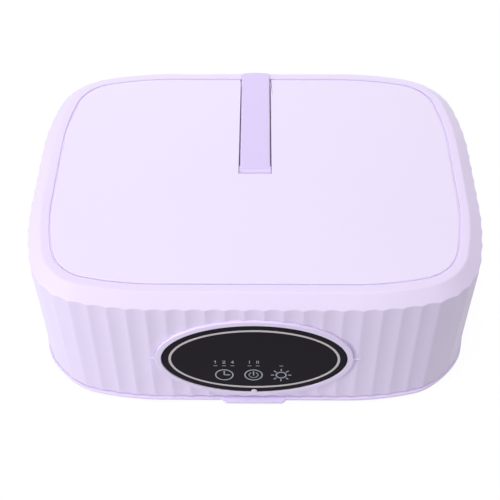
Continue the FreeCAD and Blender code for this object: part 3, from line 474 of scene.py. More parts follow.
boxOutline = {
    "halfWidth": 148.4 * mm,
    "halfDepth": 110.8 * mm,
    "sideRadius": 215.0 * mm,
    "cornerRadius": 33.0 * mm,
    "blendAngle": radians(13.8),
    "cornerDraft": 2.3 * mm,
    "stations": 480,
}


def outlineArcs():
    form = boxOutline
    turn = form["blendAngle"]
    large, small = form["sideRadius"], form["cornerRadius"]
    step = large - small
    reach = large - step * (cos(turn) - sin(turn))
    first = Vector((form["halfWidth"] - reach, form["halfDepth"] - large))
    middle = first + step * heading(turn)
    last = middle - step * Vector((cos(turn), sin(turn)))
    quarter = pi / 2
    corner = [(first, large, 0, turn), (middle, small, turn, quarter - turn),
              (last, large, quarter - turn, quarter)]
    arcs = []
    for number, (sideX, sideY) in enumerate(((1, 1), (1, -1), (-1, -1), (-1, 1))):
        for centre, radius, start, end in corner[::-1] if number % 2 else corner:
            if number % 2:
                start, end = quarter - end, quarter - start
            place = Vector((sideX * centre.x, sideY * centre.y))
            arcs.append((place, radius, number * quarter + start, number * quarter + end))
    return arcs


def heading(angle):
    return Vector((sin(angle), cos(angle)))


def outlineWalk(gauge):
    # the outline's length at this outset, and a function from travel to a point and its outward normal
    arcs = outlineArcs()
    runs = []
    for arc, following in zip(arcs, arcs[1:] + arcs[:1]):
        centre, radius, start, end = arc
        runs.append(((end - start) * (radius + gauge), arc, None))
        leave = centre + radius * heading(end)
        meet = following[0] + following[1] * heading(following[2])
        runs.append(((meet - leave).length, leave, meet))
    total = sum(run[0] for run in runs)
    half = len(runs) // 2 - 1
    ahead = sum(run[0] for run in runs[:half]) + runs[half][0] / 2  # the front's middle

    def at(travel):
        travel = (travel + ahead) % total
        for length, start, end in runs:
            if travel <= length:
                break
            travel -= length
        if end is None:
            centre, radius, first, last = start
            angle = first + (last - first) * travel / length
            return centre + radius * heading(angle), heading(angle)
        along = (end - start).normalized()
        return start + along * travel, Vector((-along.y, along.x))

    return total, at


def evenStations(count):
    total, at = outlineWalk(0.0)
    return [at(total * number / count) for number in range(count)]


def cornerShare(normal):
    # none along the sides, all in the middle of a corner
    return (2 * normal.x * normal.y) ** 2


def outlineLoft(profile, draft=0.0):
    # outsets and heights carried round the outline, which stays back by the draft in the corners
    stations = evenStations(boxOutline["stations"])
    return loftRings([[Vector((*(point + normal * (out - draft * cornerShare(normal))), z))
                       for point, normal in stations] for out, z in profile])


# Fluted shell with its bevelled rim and the ledge under the cover, and what is set into it

shellForm = {
    "foot": 6.1 * mm,
    "bevelFoot": 107.8 * mm,
    "top": 115.9 * mm,
    "footOut": 16.303 * mm,
    "bevelOut": 17.2 * mm,
    "rimWidth": 7.1 * mm,
    "rimSoft": 1.1 * mm,
    "edgeSoft": 0.7 * mm,
    "footSoft": 0.4 * mm,
    "seamGap": 0.55 * mm,
    "seamSoft": 0.8 * mm,
    "seamDepth": 1.3 * mm,
    "seamLip": 0.05 * mm,
    "ledgeTop": 112.4 * mm,
    "ledgeFoot": 109.4 * mm,
    "ledgeWidth": 6.0 * mm,
    "coverBand": 20.0 * mm,
    "wall": 2.0 * mm,
    "flutePitch": 13.4 * mm,
    "fluteDepth": 0.75 * mm,
    "fluteLand": 0.9 * mm,
    "fluteColumns": 8,
    "cornerFade": 0.75,
}
wallSlope = (shellForm["bevelOut"] - shellForm["footOut"]) / (shellForm["bevelFoot"] - shellForm["foot"])
bevelRun = (shellForm["bevelOut"] - shellForm["rimWidth"]) / (shellForm["top"] - shellForm["bevelFoot"])


def wallOut(z):
    return shellForm["footOut"] + wallSlope * (z - shellForm["foot"])


def shellProfile(depth):
    # outset and height all round the wall's section, where the flute is this deep
    form = shellForm
    foot, top, wall = form["foot"], form["top"], form["wall"]
    gap, lip, groove = form["seamGap"], form["seamLip"] - form["seamGap"], top - form["seamDepth"]
    ledge, under = form["ledgeTop"], form["ledgeFoot"]
    arch = form["bevelFoot"] + depth / (wallSlope + bevelRun)
    shoulder, skin = form["bevelFoot"] - wall, form["fluteDepth"] + wall
    roof = form["rimWidth"] + (top - under) * bevelRun - 1.5 * wall
    return softProfile([
        ((wallOut(foot) - depth, foot), form["footSoft"]),
        ((wallOut(arch) - depth, arch), form["edgeSoft"]),
        ((form["rimWidth"], top), form["rimSoft"]),
        ((gap, top), form["seamSoft"]),
        ((gap, groove), 0),
        ((lip, groove), 0),
        ((lip, ledge), 0),
        ((-form["ledgeWidth"], ledge), 0),
        ((-form["ledgeWidth"], under), 0),
        ((roof, under), 0),
        ((wallOut(shoulder) - skin, shoulder), 0),
        ((wallOut(foot) - skin, foot), 0),
    ])


def fluteStations():
    # columns of the wall: point, normal and depth, a shallow arc in each flute
    form = shellForm
    total, at = outlineWalk((form["footOut"] + form["bevelOut"]) / 2)
    count = 2 * round(total / form["flutePitch"] / 2)
    pitch = total / count
    half = (pitch - form["fluteLand"]) / 2
    made = []
    for number in range(count):
        for column in range(form["fluteColumns"] + 1):
            part = 2 * column / form["fluteColumns"] - 1
            made.append((*at(number * pitch + part * half), form["fluteDepth"] * (1 - part * part)))
    return made


def wallPlace(height, turn):
    # a frame on the wall: X along it, Y up its slope, Z outwards from the flutes' crests
    centre, radius = next(arc[:2] for arc in outlineArcs() if arc[2] <= turn <= arc[3])
    point = centre + (radius + wallOut(height)) * heading(turn)
    if abs(sin(turn)) < nearly:
        point.x = 0.0
    upright = Matrix.Rotation(pi / 2 + atan(wallSlope), 4, "X")
    return Matrix.Translation((*point, height)) @ Matrix.Rotation(pi - turn, 4, "Z") @ upright


panelForm = {
    "height": 53.6 * mm,
    "halfWidth": 70.8 * mm,
    "halfHeight": 44.1 * mm,
    "rim": 4.3 * mm,
    "proud": 1.6 * mm,
    "outerSoft": 0.8 * mm,
    "innerSoft": 0.45 * mm,
    "step": 3.0 * mm,
    "seat": -1.4 * mm,
    "cupDepth": 8.0 * mm,
    "gap": 0.25 * mm,
    "face": 0.8 * mm,
    "back": -1.2 * mm,
    "fit": 0.15 * mm,
    "seatWidth": 5.0 * mm,
    "seatThick": 1.4 * mm,
    "edgeSoft": 0.3 * mm,
    "ringInset": 5.35 * mm,
    "ringWidth": 1.8 * mm,
    "ringProud": 0.3 * mm,
    "ringSunk": 0.05 * mm,
    "ringSoft": 0.15 * mm,
    "faceStep": 10.0 * mm,
    "pip": 2.3 * mm,
    "pipSteps": 5,
    "pipTurn": 20,
    "pipSegments": 32,
    "witness": (0.2 * mm, 5.0 * mm, 0.5 * mm),  # gap, length and width of the ticks
    "witnessProud": 0.35 * mm,
    "segments": 160,
}
frontPlace = wallPlace(panelForm["height"], pi)


def ovalLoft(profile, closed):
    form, rings = panelForm, []
    for inset, z in profile:
        wide, tall = form["halfWidth"] - inset, form["halfHeight"] - inset
        rings.append([Vector((wide * cos(angle), tall * sin(angle), z))
                      for angle in roundAngles(form["segments"])])
    return moved(loftRings(rings, closed), frontPlace)


handleForm = {
    "pivotY": 4.6 * mm,
    "pivotZ": 110.3 * mm,
    "halfWidth": 11.4 * mm,
    "thick": 4.3 * mm,
    "rise": 1.3 * mm,
    "end": 118.3 * mm,
    "cornerSoft": 3.6 * mm,
    "tipArch": 0.5 * mm,
    "tipSoft": 0.6,  # share of the half width
    "edge": 0.9 * mm,
    "edgeSegments": 4,
    "knuckle": 5.6 * mm,
    "knuckleHalf": 12.1 * mm,
    "knuckleSoft": 0.5 * mm,
    "knuckleSegments": 64,
    "slotHalf": 12.4 * mm,
    "slotRearHalf": 12.1 * mm,
    "slotFront": -1.6 * mm,
    "slotRear": 102.8 * mm,
    "slotSoft": 2.2 * mm,
    "slotEdge": 0.35 * mm,
    "flareShare": 0.9,
    "rearClear": 0.3 * mm,
    "troughFloor": 104.3 * mm,
    "troughWall": 2.0 * mm,
}


def slotOutline(front, rear, flare):
    # plan of the handle's slot; where it opens at the rear its two corners are rounded outwards
    half = handleForm["halfWidth"] + handleForm["rearClear"]
    wide, soft = half + flare, flare * handleForm["flareShare"]
    right = [((half, front), 0), ((half, rear), soft), ((wide, rear), 0), ((wide, rear + wide), 0)]
    *left, start = flipped(right)
    return softProfile([start] + right + left)


intakeForm = {
    "height": 75.6 * mm,
    "width": 130.0 * mm,
    "tall": 42.0 * mm,
    "step": 3.0 * mm,
    "bodyDepth": 4.0 * mm,
    "bodyOverlap": 0.5 * mm,
    "proud": 1.6 * mm,
    "soft": 0.8 * mm,
    "softSegments": 4,
    "corner": 5.0 * mm,
    "slot": 3.0 * mm,
    "slotPitch": 7.0 * mm,
    "slotMargin": 7.0 * mm,
    "slotSoft": 1.2 * mm,
}
socketForm = {
    "height": 56.7 * mm,
    "turn": radians(8.0),
    "width": 22.0 * mm,
    "tall": 14.0 * mm,
    "flange": 3.0 * mm,
    "depth": 18.0 * mm,
    "wall": 2.0 * mm,
    "recess": 12.0 * mm,
    "proud": 0.3 * mm,
    "corner": 2.5 * mm,
    "bodyOverlap": 0.5 * mm,
    "pin": 1.2 * mm,
    "pinPitch": 8.6 * mm,
    "pinLength": 10.0 * mm,
    "pinSoft": 0.5 * mm,
    "pinSegments": 24,
}
cutReach = 10.0 * mm  # how far cutting tools run past what they cut
intakePlace = wallPlace(intakeForm["height"], 0.0)
socketPlace = wallPlace(socketForm["height"], socketForm["turn"])


def wallBox(form, grow, low, high, soft):
    # a box of the form's own width and height, grown on all sides
    return boxPrism((0.0, 0.0), (form["width"] / 2 + grow, form["tall"] / 2 + grow), low, high, soft)


def shellCutters():
    gap = panelForm["gap"]
    seat = [(-gap, panelForm["seat"]), (-gap, panelForm["proud"] + gap)]
    cup = [(panelForm["step"] - gap, -cutReach), (panelForm["step"] - gap, panelForm["proud"])]
    tools = [ovalLoft(seat, False), ovalLoft(cup, False)]
    openings = ((intakeForm, intakePlace, 0.0, intakeForm["step"]),
                (socketForm, socketPlace, socketForm["flange"], 0.0))
    for form, place, flange, step in openings:
        outer = wallBox(form, gap + flange, -shellForm["fluteDepth"], cutReach, form["corner"])
        inner = wallBox(form, gap - step, -cutReach, cutReach, form["corner"] / 2)
        tools += [moved(outer, place), moved(inner, place)]
    half = handleForm["halfWidth"] + handleForm["rearClear"]
    front, rear = handleForm["slotRear"], boxOutline["halfDepth"] + shellForm["seamGap"] + 3 * cutReach
    notch = [(-half, front), (half, front), (half, rear), (-half, rear)]
    return tools + [prism(notch, shellForm["ledgeTop"], shellForm["top"] + cutReach)]


def buildShell():
    form = shellForm
    columns = fluteStations()
    profiles = [shellProfile(depth) for point, normal, depth in columns]
    rings = []
    for level in range(len(profiles[0])):
        ring = []
        for (point, normal, depth), profile in zip(columns, profiles):
            out, z = profile[level]
            down = (form["bevelFoot"] - z) / (form["bevelFoot"] - form["foot"])
            easing = form["cornerFade"] * depth - boxOutline["cornerDraft"]
            out += easing * cornerShare(normal) * max(down, 0.0)  # flat and drawn in at the corners' foot
            ring.append(Vector((*(point + normal * out), z)))
        rings.append(ring)
    shell = carve(loftRings(rings, True), shellCutters())
    finishPiece("flutedShell", shell, "housing", lavender, ["fluted_shell", "top_frame"], sharp=17.0)


buildShell()
print("fluted shell made")


# Top cover with the handle's slot and trough

def buildCover():
    form, slot = shellForm, handleForm
    top, ledge = form["top"], form["ledgeTop"]
    edge, inner = -form["seamGap"], -form["seamGap"] - form["coverBand"]
    corners = [(inner, ledge), (edge, ledge), (edge, top), (inner, top)]
    plate = outlineLoft(softCorners(corners, [0, 0, form["seamSoft"], 0]))
    wide, narrow, wall = slot["slotHalf"], slot["slotRearHalf"], slot["troughWall"]
    front, rear, floor = slot["slotFront"], slot["slotRear"], slot["troughFloor"]
    trough = boxPrism((0.0, (front + rear) / 2), (wide + wall, (rear - front) / 2 + wall),
                      floor - wall, ledge + wall / 2)
    body = carve(plate, [trough], "UNION")
    above = top + cutReach
    deep = prism([(-wide, front), (wide, front), (narrow, rear), (-narrow, rear)], floor, above)
    seamLine = boxOutline["halfDepth"] - form["seamGap"]
    outlet = prism(slotOutline(rear - wall, seamLine, slot["slotSoft"]), ledge, above)
    body = carve(body, [deep, outlet])
    sides, seamEnd = wide + 1.5 * wall, seamLine - 1.5 * form["seamSoft"]

    def isRim(*ends):
        return all(abs(end.z - top) < nearly and abs(end.x) < sides and front - mm < end.y < seamEnd
                   for end in ends)

    softEdges(body, edgesWhere(body, isRim), slot["slotEdge"])
    # the cover takes the paler copy of the lavender: painted light on the top
    finishPiece("topCover", body, "housing", lavender, ["top_cover"], sharp=25.0, material=coverPaintedLightPlastic)


buildCover()
print("top cover made")


# Strap handle: a flat bar with a rounded tip, on a round knuckle

def buildHandle():
    form = handleForm
    half, start, end = form["halfWidth"], form["pivotY"], form["end"]
    shoulder, tip = end - form["tipArch"], end + form["tipArch"]
    outline = softProfile([
        ((-half, start), 0),
        ((half, start), 0),
        ((half, shoulder), form["cornerSoft"]),
        ((0.0, tip), half * form["tipSoft"]),
        ((-half, shoulder), form["cornerSoft"]),
    ])
    farthest = max(y for x, y in outline)
    outline = [(x, start + (y - start) * (end - start) / (farthest - start)) for x, y in outline]
    top = shellForm["top"]
    bar = prism(outline, top - form["thick"], top)
    for vert in bar.verts:
        vert.co.z += form["rise"] * (vert.co.y - start) / (end - start)

    def isTop(place):
        return place.z > top - form["thick"] / 2 + form["rise"] * (place.y - start) / (end - start)

    def isRim(first, last):  # round the upper and the lower face, but not across the knuckle
        return isTop(first) == isTop(last) and first.y + last.y > 2 * start + mm

    softEdges(bar, edgesWhere(bar, isRim), form["edge"], form["edgeSegments"])
    radius, side, soft = form["knuckle"], form["knuckleHalf"], form["knuckleSoft"]
    spans = [(-side, radius - soft), (soft - side, radius), (side - soft, radius), (side, radius - soft)]
    angles = roundAngles(form["knuckleSegments"])
    knuckle = loftRings([[Vector((x, start + size * cos(angle), form["pivotZ"] + size * sin(angle)))
                          for angle in angles] for x, size in spans])
    handle = carve(bar, [knuckle], "UNION")
    finishPiece("strapHandle", handle, "handle", "handle_plastic", ["hook_handle"])


buildHandle()
print("handle made")


# Oval panel: bezel, gloss panel and silver ring

def panelPip():
    # a low dome at the foot of the bezel
    form = panelForm
    radius, drop = form["pip"], form["halfHeight"] - form["rim"] - form["pip"] / 3
    profile = []
    for step in range(form["pipSteps"]):
        turn = radians(form["pipTurn"] * step)
        height = form["face"] + 0.5 * radius * sin(turn) if step else form["back"]
        profile.append((radius * cos(turn), height))
    return turnedPart((0.0, -drop), profile, form["pipSegments"])


def buildPanel():
    form = panelForm
    rim, step, cup, face, back = form["rim"], form["step"], -form["cupDepth"], form["face"], form["back"]
    seat, seatBack = rim + form["seatWidth"], back - form["seatThick"]
    bezel = ovalLoft(softProfile([
        ((0.0, form["seat"]), 0),
        ((0.0, form["proud"]), form["outerSoft"]),
        ((rim, form["proud"]), form["innerSoft"]),
        ((rim, back), 0),
        ((seat, back), 0),
        ((seat, seatBack), 0),
        ((rim, seatBack), 0),
        ((rim, cup), 0),
        ((step, cup), 0),
        ((step, form["seat"]), 0),
    ]), True)
    start, length, width = form["witness"]
    marks = [moved(panelPip(), frontPlace)]
    for side in (-1, 1):
        middle = (side * (form["halfWidth"] + start + length / 2), 0.0)
        mark = boxPrism(middle, (length / 2, width / 2), -shellForm["fluteDepth"], form["witnessProud"])
        marks.append(moved(mark, frontPlace))
    finishPiece("ovalBezel", joined([bezel] + marks), "housing", lavender, ["oval_bezel"], sharp=25.0)
    edge = rim + form["fit"]
    inner = edge + form["faceStep"]
    corners = [(inner, back), (edge, back), (edge, face), (inner, face)]
    panel = ovalLoft(softCorners(corners, [0, 0, form["edgeSoft"], 0], steps=3), False)
    finishPiece("touchPanel", panel, "housing", "black_panel", ["touch_panel"], sharp=35.0)
    outer, inner = rim + form["ringInset"], rim + form["ringInset"] + form["ringWidth"]
    low, high, soft = face - form["ringSunk"], face + form["ringProud"], form["ringSoft"]
    corners = [(outer, low), (outer, high), (inner, high), (inner, low)]
    ring = ovalLoft(softCorners(corners, [0, soft, soft, 0], steps=3), True)
    finishPiece("silverRing", ring, "housing", "silver_trim", ["trim_ring"], sharp=35.0)


buildPanel()
print("oval panel made")


# Rear: intake grille and mains socket

def buildIntake():
    form = intakeForm
    low = -shellForm["fluteDepth"]
    flange = wallBox(form, 0.0, low, form["proud"], form["corner"])
    tops = edgesWhere(flange, lambda first, last: min(first.z, last.z) > form["proud"] - nearly)
    softEdges(flange, tops, form["soft"], form["softSegments"])
    behind = low - form["bodyDepth"]
    body = wallBox(form, -form["step"], behind, low + form["bodyOverlap"], form["corner"] / 2)
    grille = carve(flange, [body], "UNION")
    margin, pitch = form["slotMargin"], form["slotPitch"]
    count = 2 * int((form["width"] / 2 - margin) / pitch) + 1
    halves = (form["slot"] / 2, form["tall"] / 2 - margin)
    span = (behind - form["bodyDepth"], 3 * form["proud"])
    slots = [boxPrism(((number - (count - 1) / 2) * pitch, 0.0), halves, *span, form["slotSoft"])
             for number in range(count)]
    grille = moved(carve(grille, [joined(slots)]), intakePlace)
    finishPiece("intakeGrille", grille, "housing", lavender, ["intake_grille"])


def buildSocket():
    form = socketForm
    low, corner = -shellForm["fluteDepth"], form["corner"]
    plate = wallBox(form, form["flange"], low, form["proud"], corner)
    body = wallBox(form, 0.0, -form["depth"], low + form["bodyOverlap"], corner / 2)
    room = wallBox(form, -form["wall"], -form["recess"], form["proud"] + mm, corner / 2)
    socket = carve(carve(plate, [body], "UNION"), [room])
    finishPiece("mainsSocket", moved(socket, socketPlace), "housing", "fan_plastic", ["power_inlet"])
    pins = []
    foot = -form["recess"] - mm
    for side in (-1, 1):
        middle, radius = side * form["pinPitch"] / 2, form["pin"]
        ring = [(middle + radius * cos(angle), radius * sin(angle))
                for angle in roundAngles(form["pinSegments"])]
        pin = prism(ring, foot, foot + form["pinLength"])
        tips = edgesWhere(pin, lambda first, last: min(first.z, last.z) > -form["recess"])
        softEdges(pin, tips, form["pinSoft"])
        pins.append(pin)
    finishPiece("socketPins", moved(joined(pins), socketPlace), "housing", "steel")


buildIntake()
buildSocket()
print("rear wall made")


# Printed signs: timer, power and lamp, with plain numbers and bars

signForm = {
    "thick": 0.07 * mm,
    "stroke": 0.9 * mm,
    "signY": -18.6 * mm,
    "clockX": -21.7 * mm,
    "powerX": -0.5 * mm,
    "sunX": 19.5 * mm,
    "circle": 6.7 * mm,
    "powerCircle": 3.7 * mm,
    "sunCircle": 4.0 * mm,
    "clockHands": (4.4 * mm, 3.9 * mm),
    "powerArc": (38, 322, 20),  # first and last angle, number of strokes
    "powerStem": (0.3 * mm, 0.2 * mm),
    "rays": (5.3 * mm, 7.1 * mm),
    "rayCount": 8,
    "digitY": -2.9 * mm,
    "digitHigh": 3.0 * mm,
    "digitWide": 1.9 * mm,
    "digitStroke": 0.55 * mm,
    "digits": ((-27.9 * mm, "one"), (-21.7 * mm, "two"), (-15.6 * mm, "four")),
    "barMarks": ((-3.4 * mm, 1), (2.4 * mm, 2)),
    "barPitch": 1.2 * mm,
    "dashY": -7.4 * mm,
    "dashWide": 2.4 * mm,
    "dashStroke": 0.5 * mm,
    "roundSteps": 6,
    "ringSegments": 56,
}
signFoot = panelForm["face"] - signForm["thick"]
signTop = panelForm["face"] + signForm["thick"]
digitLines = {  # corners across and up, in units of the digit's width and height
    "one": [(-0.35, 0.28), (0.1, 0.5), (0.1, -0.5)],
    "two": [(-0.48, 0.24), (-0.36, 0.43), (0.0, 0.5), (0.36, 0.43), (0.46, 0.22), (0.3, -0.02),
            (-0.48, -0.5), (0.5, -0.5)],
    "four": [(0.5, -0.18), (-0.5, -0.18), (0.2, 0.5), (0.2, -0.5)],
}


def strokePart(start, end, width):
    # one straight stroke with round ends
    along = end - start
    turn = atan2(along.y, along.x)
    steps = signForm["roundSteps"]
    outline = []
    for centre, base in ((end, turn), (start, turn + pi)):
        for step in range(steps + 1):
            angle = base - pi / 2 + pi * step / steps
            outline.append(centre + Vector((cos(angle), sin(angle))) * width / 2)
    return prism(outline, signFoot, signTop)


def strokeLine(points, width):
    return [strokePart(Vector(start), Vector(end), width) for start, end in zip(points, points[1:])]


def ringPart(centre, radius, width):
    inner = radius - width
    profile = ((inner, signFoot), (radius, signFoot), (radius, signTop), (inner, signTop))
    return turnedPart(centre, profile, signForm["ringSegments"], True)


def buildSigns():
    form = signForm
    y, stroke = form["signY"], form["stroke"]
    clock, power, sun = ((form[key], y) for key in ("clockX", "powerX", "sunX"))
    parts = [ringPart(clock, form["circle"], stroke), ringPart(power, form["circle"], stroke),
             ringPart(sun, form["sunCircle"], stroke)]
    minutes, hours = form["clockHands"]
    parts += strokeLine([(clock[0], y + minutes), clock, (clock[0] + hours, y)], stroke)
    parts += strokeLine(arcPoints(power, form["powerCircle"] - stroke / 2, *form["powerArc"]), stroke)
    over, under = form["powerStem"]
    parts += strokeLine([(power[0], y + form["powerCircle"] + over), (power[0], y - under)], stroke)
    for number in range(form["rayCount"]):
        turn = 360 / form["rayCount"] * number
        ends = [arcPoints(sun, size, turn, turn, 1)[0] for size in form["rays"]]
        parts += strokeLine(ends, stroke)
    marks = [x for x, mark in form["digits"] + form["barMarks"]] + [form["sunX"]]
    for x, name in form["digits"]:
        line = [(x + across * form["digitWide"], form["digitY"] + up * form["digitHigh"])
                for across, up in digitLines[name]]
        parts += strokeLine(line, form["digitStroke"])
    for x, count in form["barMarks"]:
        for number in range(count):
            across = x + (number - (count - 1) / 2) * form["barPitch"]
            ends = [(across, form["digitY"] + side * form["digitHigh"] / 2) for side in (-1, 1)]
            parts += strokeLine(ends, form["digitStroke"])
    for x in marks:
        ends = [(x + side * form["dashWide"] / 2, form["dashY"]) for side in (-1, 1)]
        parts += strokeLine(ends, form["dashStroke"])
    finishPiece("panelSigns", moved(joined(parts), frontPlace), "housing", "silver_trim", material=panelInk)


buildSigns()
print("panel signs made")


# Bottom tray: lip, finger tab, inner wall and air slots; feet and screws under it

trayForm = {
    "foot": 3.0 * mm,
    "top": 5.4 * mm,
    "lipOut": 17.7 * mm,
    "lipSoft": 0.7 * mm,
    "cornerDraft": 3.0 * mm,
    "wallOut": 12.75 * mm,
    "wallThick": 1.8 * mm,
    "wallHigh": 6.5 * mm,
    "wallSoft": 0.4 * mm,
    "wallStep": 2.0 * mm,
    "tabHalf": 24.5 * mm,
    "tabEndHalf": 21.2 * mm,
    "tabReach": 3.0 * mm,
    "tabRoot": 4.0 * mm,
    "tabStart": 0.6 * mm,
    "tabSoft": 1.6 * mm,
    "tabEdge": 0.6 * mm,
    "ventRows": 9,
    "ventLength": 92.0 * mm,
    "ventWidth": 5.0 * mm,
    "ventPitch": 16.0 * mm,
    "ventSoft": 0.45,  # share of the slot's width
    "footRadius": 8.0 * mm,
    "footSoft": 0.6 * mm,
    "footHollow": (0.45, 0.62),  # shares of the radius, in the sole
    "footSegments": 40,
    "footX": 117.4 * mm,
    "footY": 79.8 * mm,
}


def buildTray():
    form = trayForm
    low, top, out, lip = form["foot"], form["top"], form["wallOut"], form["lipOut"]
    wallTop, inner = top + form["wallHigh"], out - form["wallThick"]
    floor = inner - form["wallStep"]
    profile = softProfile([
        ((floor, low), 0),
        ((lip, low), form["lipSoft"]),
        ((lip, top), form["lipSoft"]),
        ((out, top), 0),
        ((out, wallTop), form["wallSoft"]),
        ((inner, wallTop), form["wallSoft"]),
        ((inner, top), 0),
        ((floor, top), 0),
    ])
    plate = outlineLoft(profile, form["cornerDraft"])
    front, half = -boxOutline["halfDepth"] - lip, form["tabHalf"]
    back, start, end = front + form["tabRoot"], front + form["tabStart"], front - form["tabReach"]
    left = [((-half, back), 0), ((-half, start), 0), ((-form["tabEndHalf"], end), form["tabSoft"])]
    tab = prism(softProfile(left + flipped(left)), low, top)

    def isRim(first, last):  # level edges, but not those inside the lip
        return abs(first.z - last.z) < nearly and min(first.y, last.y) < back - mm

    softEdges(tab, edgesWhere(tab, isRim), form["tabEdge"])
    tray = carve(plate, [tab], "UNION")
    length, width, soft = form["ventLength"], form["ventWidth"], form["ventWidth"] * form["ventSoft"]
    slots = []
    for row in range(form["ventRows"]):
        y = (row - (form["ventRows"] - 1) / 2) * form["ventPitch"]
        for side in (-1, 1):
            middle = (side * (length / 2 + width), y)
            slots.append(boxPrism(middle, (length / 2, width / 2), low - mm, top + mm, soft))
    tray = carve(tray, [joined(slots)])
    finishPiece("bottomTray", tray, "tray", lavender, ["bottom_tray"], sharp=25.0)


def buildFeet():
    form = trayForm
    radius, high, soft = form["footRadius"], form["foot"], form["footSoft"]
    hollow, sole = (share * radius for share in form["footHollow"])
    # from the hollow in the sole, over the rolled edge, up to the tray
    profile = [(hollow, soft), (sole, 0.0), (radius - soft, 0.0), (radius - 0.2 * soft, 0.3 * soft),
               (radius, soft), (radius, high - soft), (radius - soft, high)]
    feet = []
    for sideX in (-1, 1):
        for sideY in (-1, 1):
            centre = (sideX * form["footX"], sideY * form["footY"])
            feet.append(turnedPart(centre, profile, form["footSegments"]))
    finishPiece("rubberFeet", joined(feet), "tray", "foot_rubber", ["rubber_feet"], sharp=40.0)


screwForm = {
    "out": 1.3 * mm,
    "head": 2.8 * mm,
    "headHigh": 1.8 * mm,
    "shank": 1.4 * mm,
    "length": 4.6 * mm,
    "crossWidth": 0.8 * mm,
    "crossLength": 3.4 * mm,
    "crossDeep": 0.9 * mm,
    "domeSteps": 6,
    "segments": 32,
}


def buildScrews():
    # pan heads with a cross recess, under the tray's corners and sides
    form = screwForm
    seat, head, high = trayForm["foot"], form["head"], form["headHigh"]
    turns = [radians(90 / form["domeSteps"] * step) for step in range(1, form["domeSteps"] + 1)]
    profile = [(head * sin(turn), seat - high * cos(turn)) for turn in turns]
    profile += [(form["shank"], seat), (form["shank"], seat + form["length"])]
    places = [centre + (radius + form["out"]) * heading((first + last) / 2)
              for centre, radius, first, last in outlineArcs() if radius == boxOutline["cornerRadius"]]
    places += [Vector((side * (boxOutline["halfWidth"] + form["out"]), 0.0)) for side in (-1, 1)]
    wide, slim = form["crossLength"] / 2, form["crossWidth"] / 2
    floor = seat - high + form["crossDeep"]
    screws = []
    for place in places:
        screw = turnedPart(place, profile, form["segments"])
        cross = [boxPrism(place, halves, seat - 2 * high, floor) for halves in ((wide, slim), (slim, wide))]
        screws.append(carve(screw, cross))
    finishPiece("lowerRingScrews", joined(screws), "tray", "steel", ["lower_ring_screws"])


buildTray()
buildFeet()
buildScrews()
print("tray, feet and screws made")


# Drying bag: a pleated cloth tube from the tray's clamp ring to the housing's

bagForm = {
    "foot": 8.4 * mm,
    "top": 34.4 * mm,
    "out": 6.1 * mm,
    "depth": 17.0 * mm,
    "pleats": 14,
    "steps": 6,
    "stations": 240,
    "fullness": 0.90,
    "slack": ((0.06, 5, 1.3), (0.04, 11, -2.1)),  # share, waves round the bag, drift from pleat to pleat
    "sway": 0.5 * mm,
    "swayWaves": 3,
}


def pleatHeight(part):
    # rest heights whose spacing becomes even when the housing is all the way up
    return 0.5 - sin(asin(1 - 2 * part) / 3)


def bagRings():
    form = bagForm
    levels = form["pleats"] * form["steps"]
    stations = evenStations(form["stations"])
    rings = []
    for level in range(levels + 1):
        part = level / levels
        z = form["foot"] + (form["top"] - form["foot"]) * pleatHeight(part)
        phase = 2 * pi * form["pleats"] * part
        ring = []
        for number, (point, normal) in enumerate(stations):
            around = 2 * pi * number / form["stations"]
            slack = sum((share * sin(waves * around + drift * level / form["steps"])
                         for share, waves, drift in form["slack"]), form["fullness"])
            fold = form["depth"] * slack * (0.5 - 0.5 * cos(phase))
            sway = form["sway"] * sin(form["swayWaves"] * around + level)
            ring.append(Vector((*(point + normal * (form["out"] - fold - abs(sway))), z)))
        rings.append(ring)
    return rings


def buildBag():
    form = bagForm
    rings = bagRings()
    bm = bmesh.new()
    cloth = bm.loops.layers.uv.new("cloth")
    made = stackRings(bm, rings)
    girth = outlineWalk(0.0)[0]
    lengths = [0.0]
    for lower, upper in zip(rings, rings[1:]):
        lengths.append(lengths[-1] + (upper[0] - lower[0]).length)
    place = {vert: (girth * number / form["stations"], length) for verts, length in zip(made, lengths)
             for number, vert in enumerate(verts)}
    for face in bm.faces:  # a face that closes the ring runs on past the girth
        travels = [place[vert][0] for vert in face.verts]
        wraps = max(travels) - min(travels) > girth / 2
        for loop in face.loops:
            u, v = place[loop.vert]
            loop[cloth].uv = (u + girth if wraps and u < girth / 2 else u, v)
    bmesh.ops.recalc_face_normals(bm, faces=bm.faces)
    area = sum(face.calc_area() for face in bm.faces)
    print("bag cloth: girth", round(girth, 3), "length", round(lengths[-1], 3), "area", round(area, 4))
    piece = finishPiece("dryingBag", bm, None, "bag_cloth", ["drying_bag"], sharp=80.0, even=False)
    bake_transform(piece)


buildBag()
print("bag made")


# Camera, light and floor

cameraForm = {
    "place": (2.3 * mm, -575.8 * mm, 658.6 * mm),
    "lens": 75.67,
    "down": 0.8299,
    "yaw": -0.0111,
    "roll": -0.0045,
}


def buildCamera():
    form = cameraForm
    down, yaw, roll = form["down"], form["yaw"], form["roll"]
    ahead = Vector((sin(yaw) * cos(down), cos(yaw) * cos(down), -sin(down)))
    right = Vector((cos(yaw), -sin(yaw), 0.0))
    over = right.cross(ahead)
    across = right * cos(roll) + over * sin(roll)
    over = over * cos(roll) - right * sin(roll)
    camera = placed("camera", bpy.data.cameras.new("camera"))
    camera.data.lens = form["lens"]
    turned = Matrix((across, over, -ahead)).transposed().to_4x4()
    camera.matrix_world = Matrix.Translation(form["place"]) @ turned
    bpy.context.scene.camera = camera


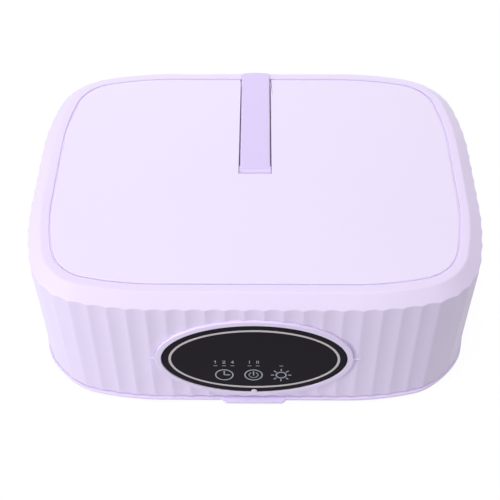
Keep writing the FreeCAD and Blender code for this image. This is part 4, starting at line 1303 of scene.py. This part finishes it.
lightForm = {
    "lamps": {  # place, size, watts and colour
        "key": ((-1.12, -0.82, 0.47), 0.55, 7.9, (0.965, 0.985, 1.0)),
        "overhead": ((0.0, -0.6, 3.4), 2.4, 59.0, (1.0, 1.0, 1.0)),
        "rearFill": ((-0.3, 3.3, 1.0), 2.4, 38.0, (1.0, 1.0, 1.0)),
    },
    "worldLight": 0.32,
    "worldColour": (1.0, 0.985, 1.0, 1.0),
    "white": (1.0, 1.0, 1.0, 1.0),
    "aim": (0.0, 0.0, 0.05),
    "floorHalf": 4.0,
    "floorGlow": 0.92,
    "floorStrength": 1.02,
    "floorLit": (0.64, 0.64, 0.65, 1.0),  # what throws light back on the part
    "floorSeen": (0.97, 0.97, 0.97, 1.0),
}


def buildLight():
    form = lightForm
    for name, (place, size, power, colour) in form["lamps"].items():
        lamp = bpy.data.lights.new(name, "AREA")
        lamp.shape = "DISK"
        lamp.size = size
        lamp.energy = power
        lamp.color = colour
        made = placed(name, lamp)
        made.location = place
        aim = Vector(form["aim"]) - Vector(place)
        made.rotation_euler = aim.to_track_quat("-Z", "Y").to_euler()
    world = bpy.data.worlds.new("studio")
    bpy.context.scene.world = world
    world.use_nodes = True
    bench = NodeBench(world.node_tree)
    rays = bench.backdropRays()
    level = form["worldLight"] + (1 - form["worldLight"]) * rays
    hue = bench.tint(rays, form["worldColour"], form["white"])
    bench.feed(bench.tree.nodes["Background"], {"Color": hue, "Strength": level})


def buildFloor():
    form = lightForm
    finish = Finish("paleFloor")
    rays = finish.backdropRays()
    tone = finish.tint(rays, form["floorLit"], form["floorSeen"])
    finish.surface({"Base Color": tone, "Roughness": 0.7, "Specular IOR Level": 0.1})
    glow = finish.node("ShaderNodeEmission", {}, {"Color": form["white"], "Strength": form["floorStrength"]})
    plain = Signal(finish, finish.shader.outputs[0])
    mixed = finish.node("ShaderNodeMixShader", {}, {0: form["floorGlow"] * rays, 1: plain, 2: glow})
    finish.feed(finish.tree.nodes["Material Output"], {"Surface": mixed})
    bm = bmesh.new()
    bmesh.ops.create_grid(bm, x_segments=1, y_segments=1, size=form["floorHalf"])
    floor = meshObject("floor", bm)
    floor.data.materials.append(finish.material)


buildCamera()
buildLight()
buildFloor()
bpy.context.scene.view_settings.view_transform = "Standard"
print("camera, light and floor made")
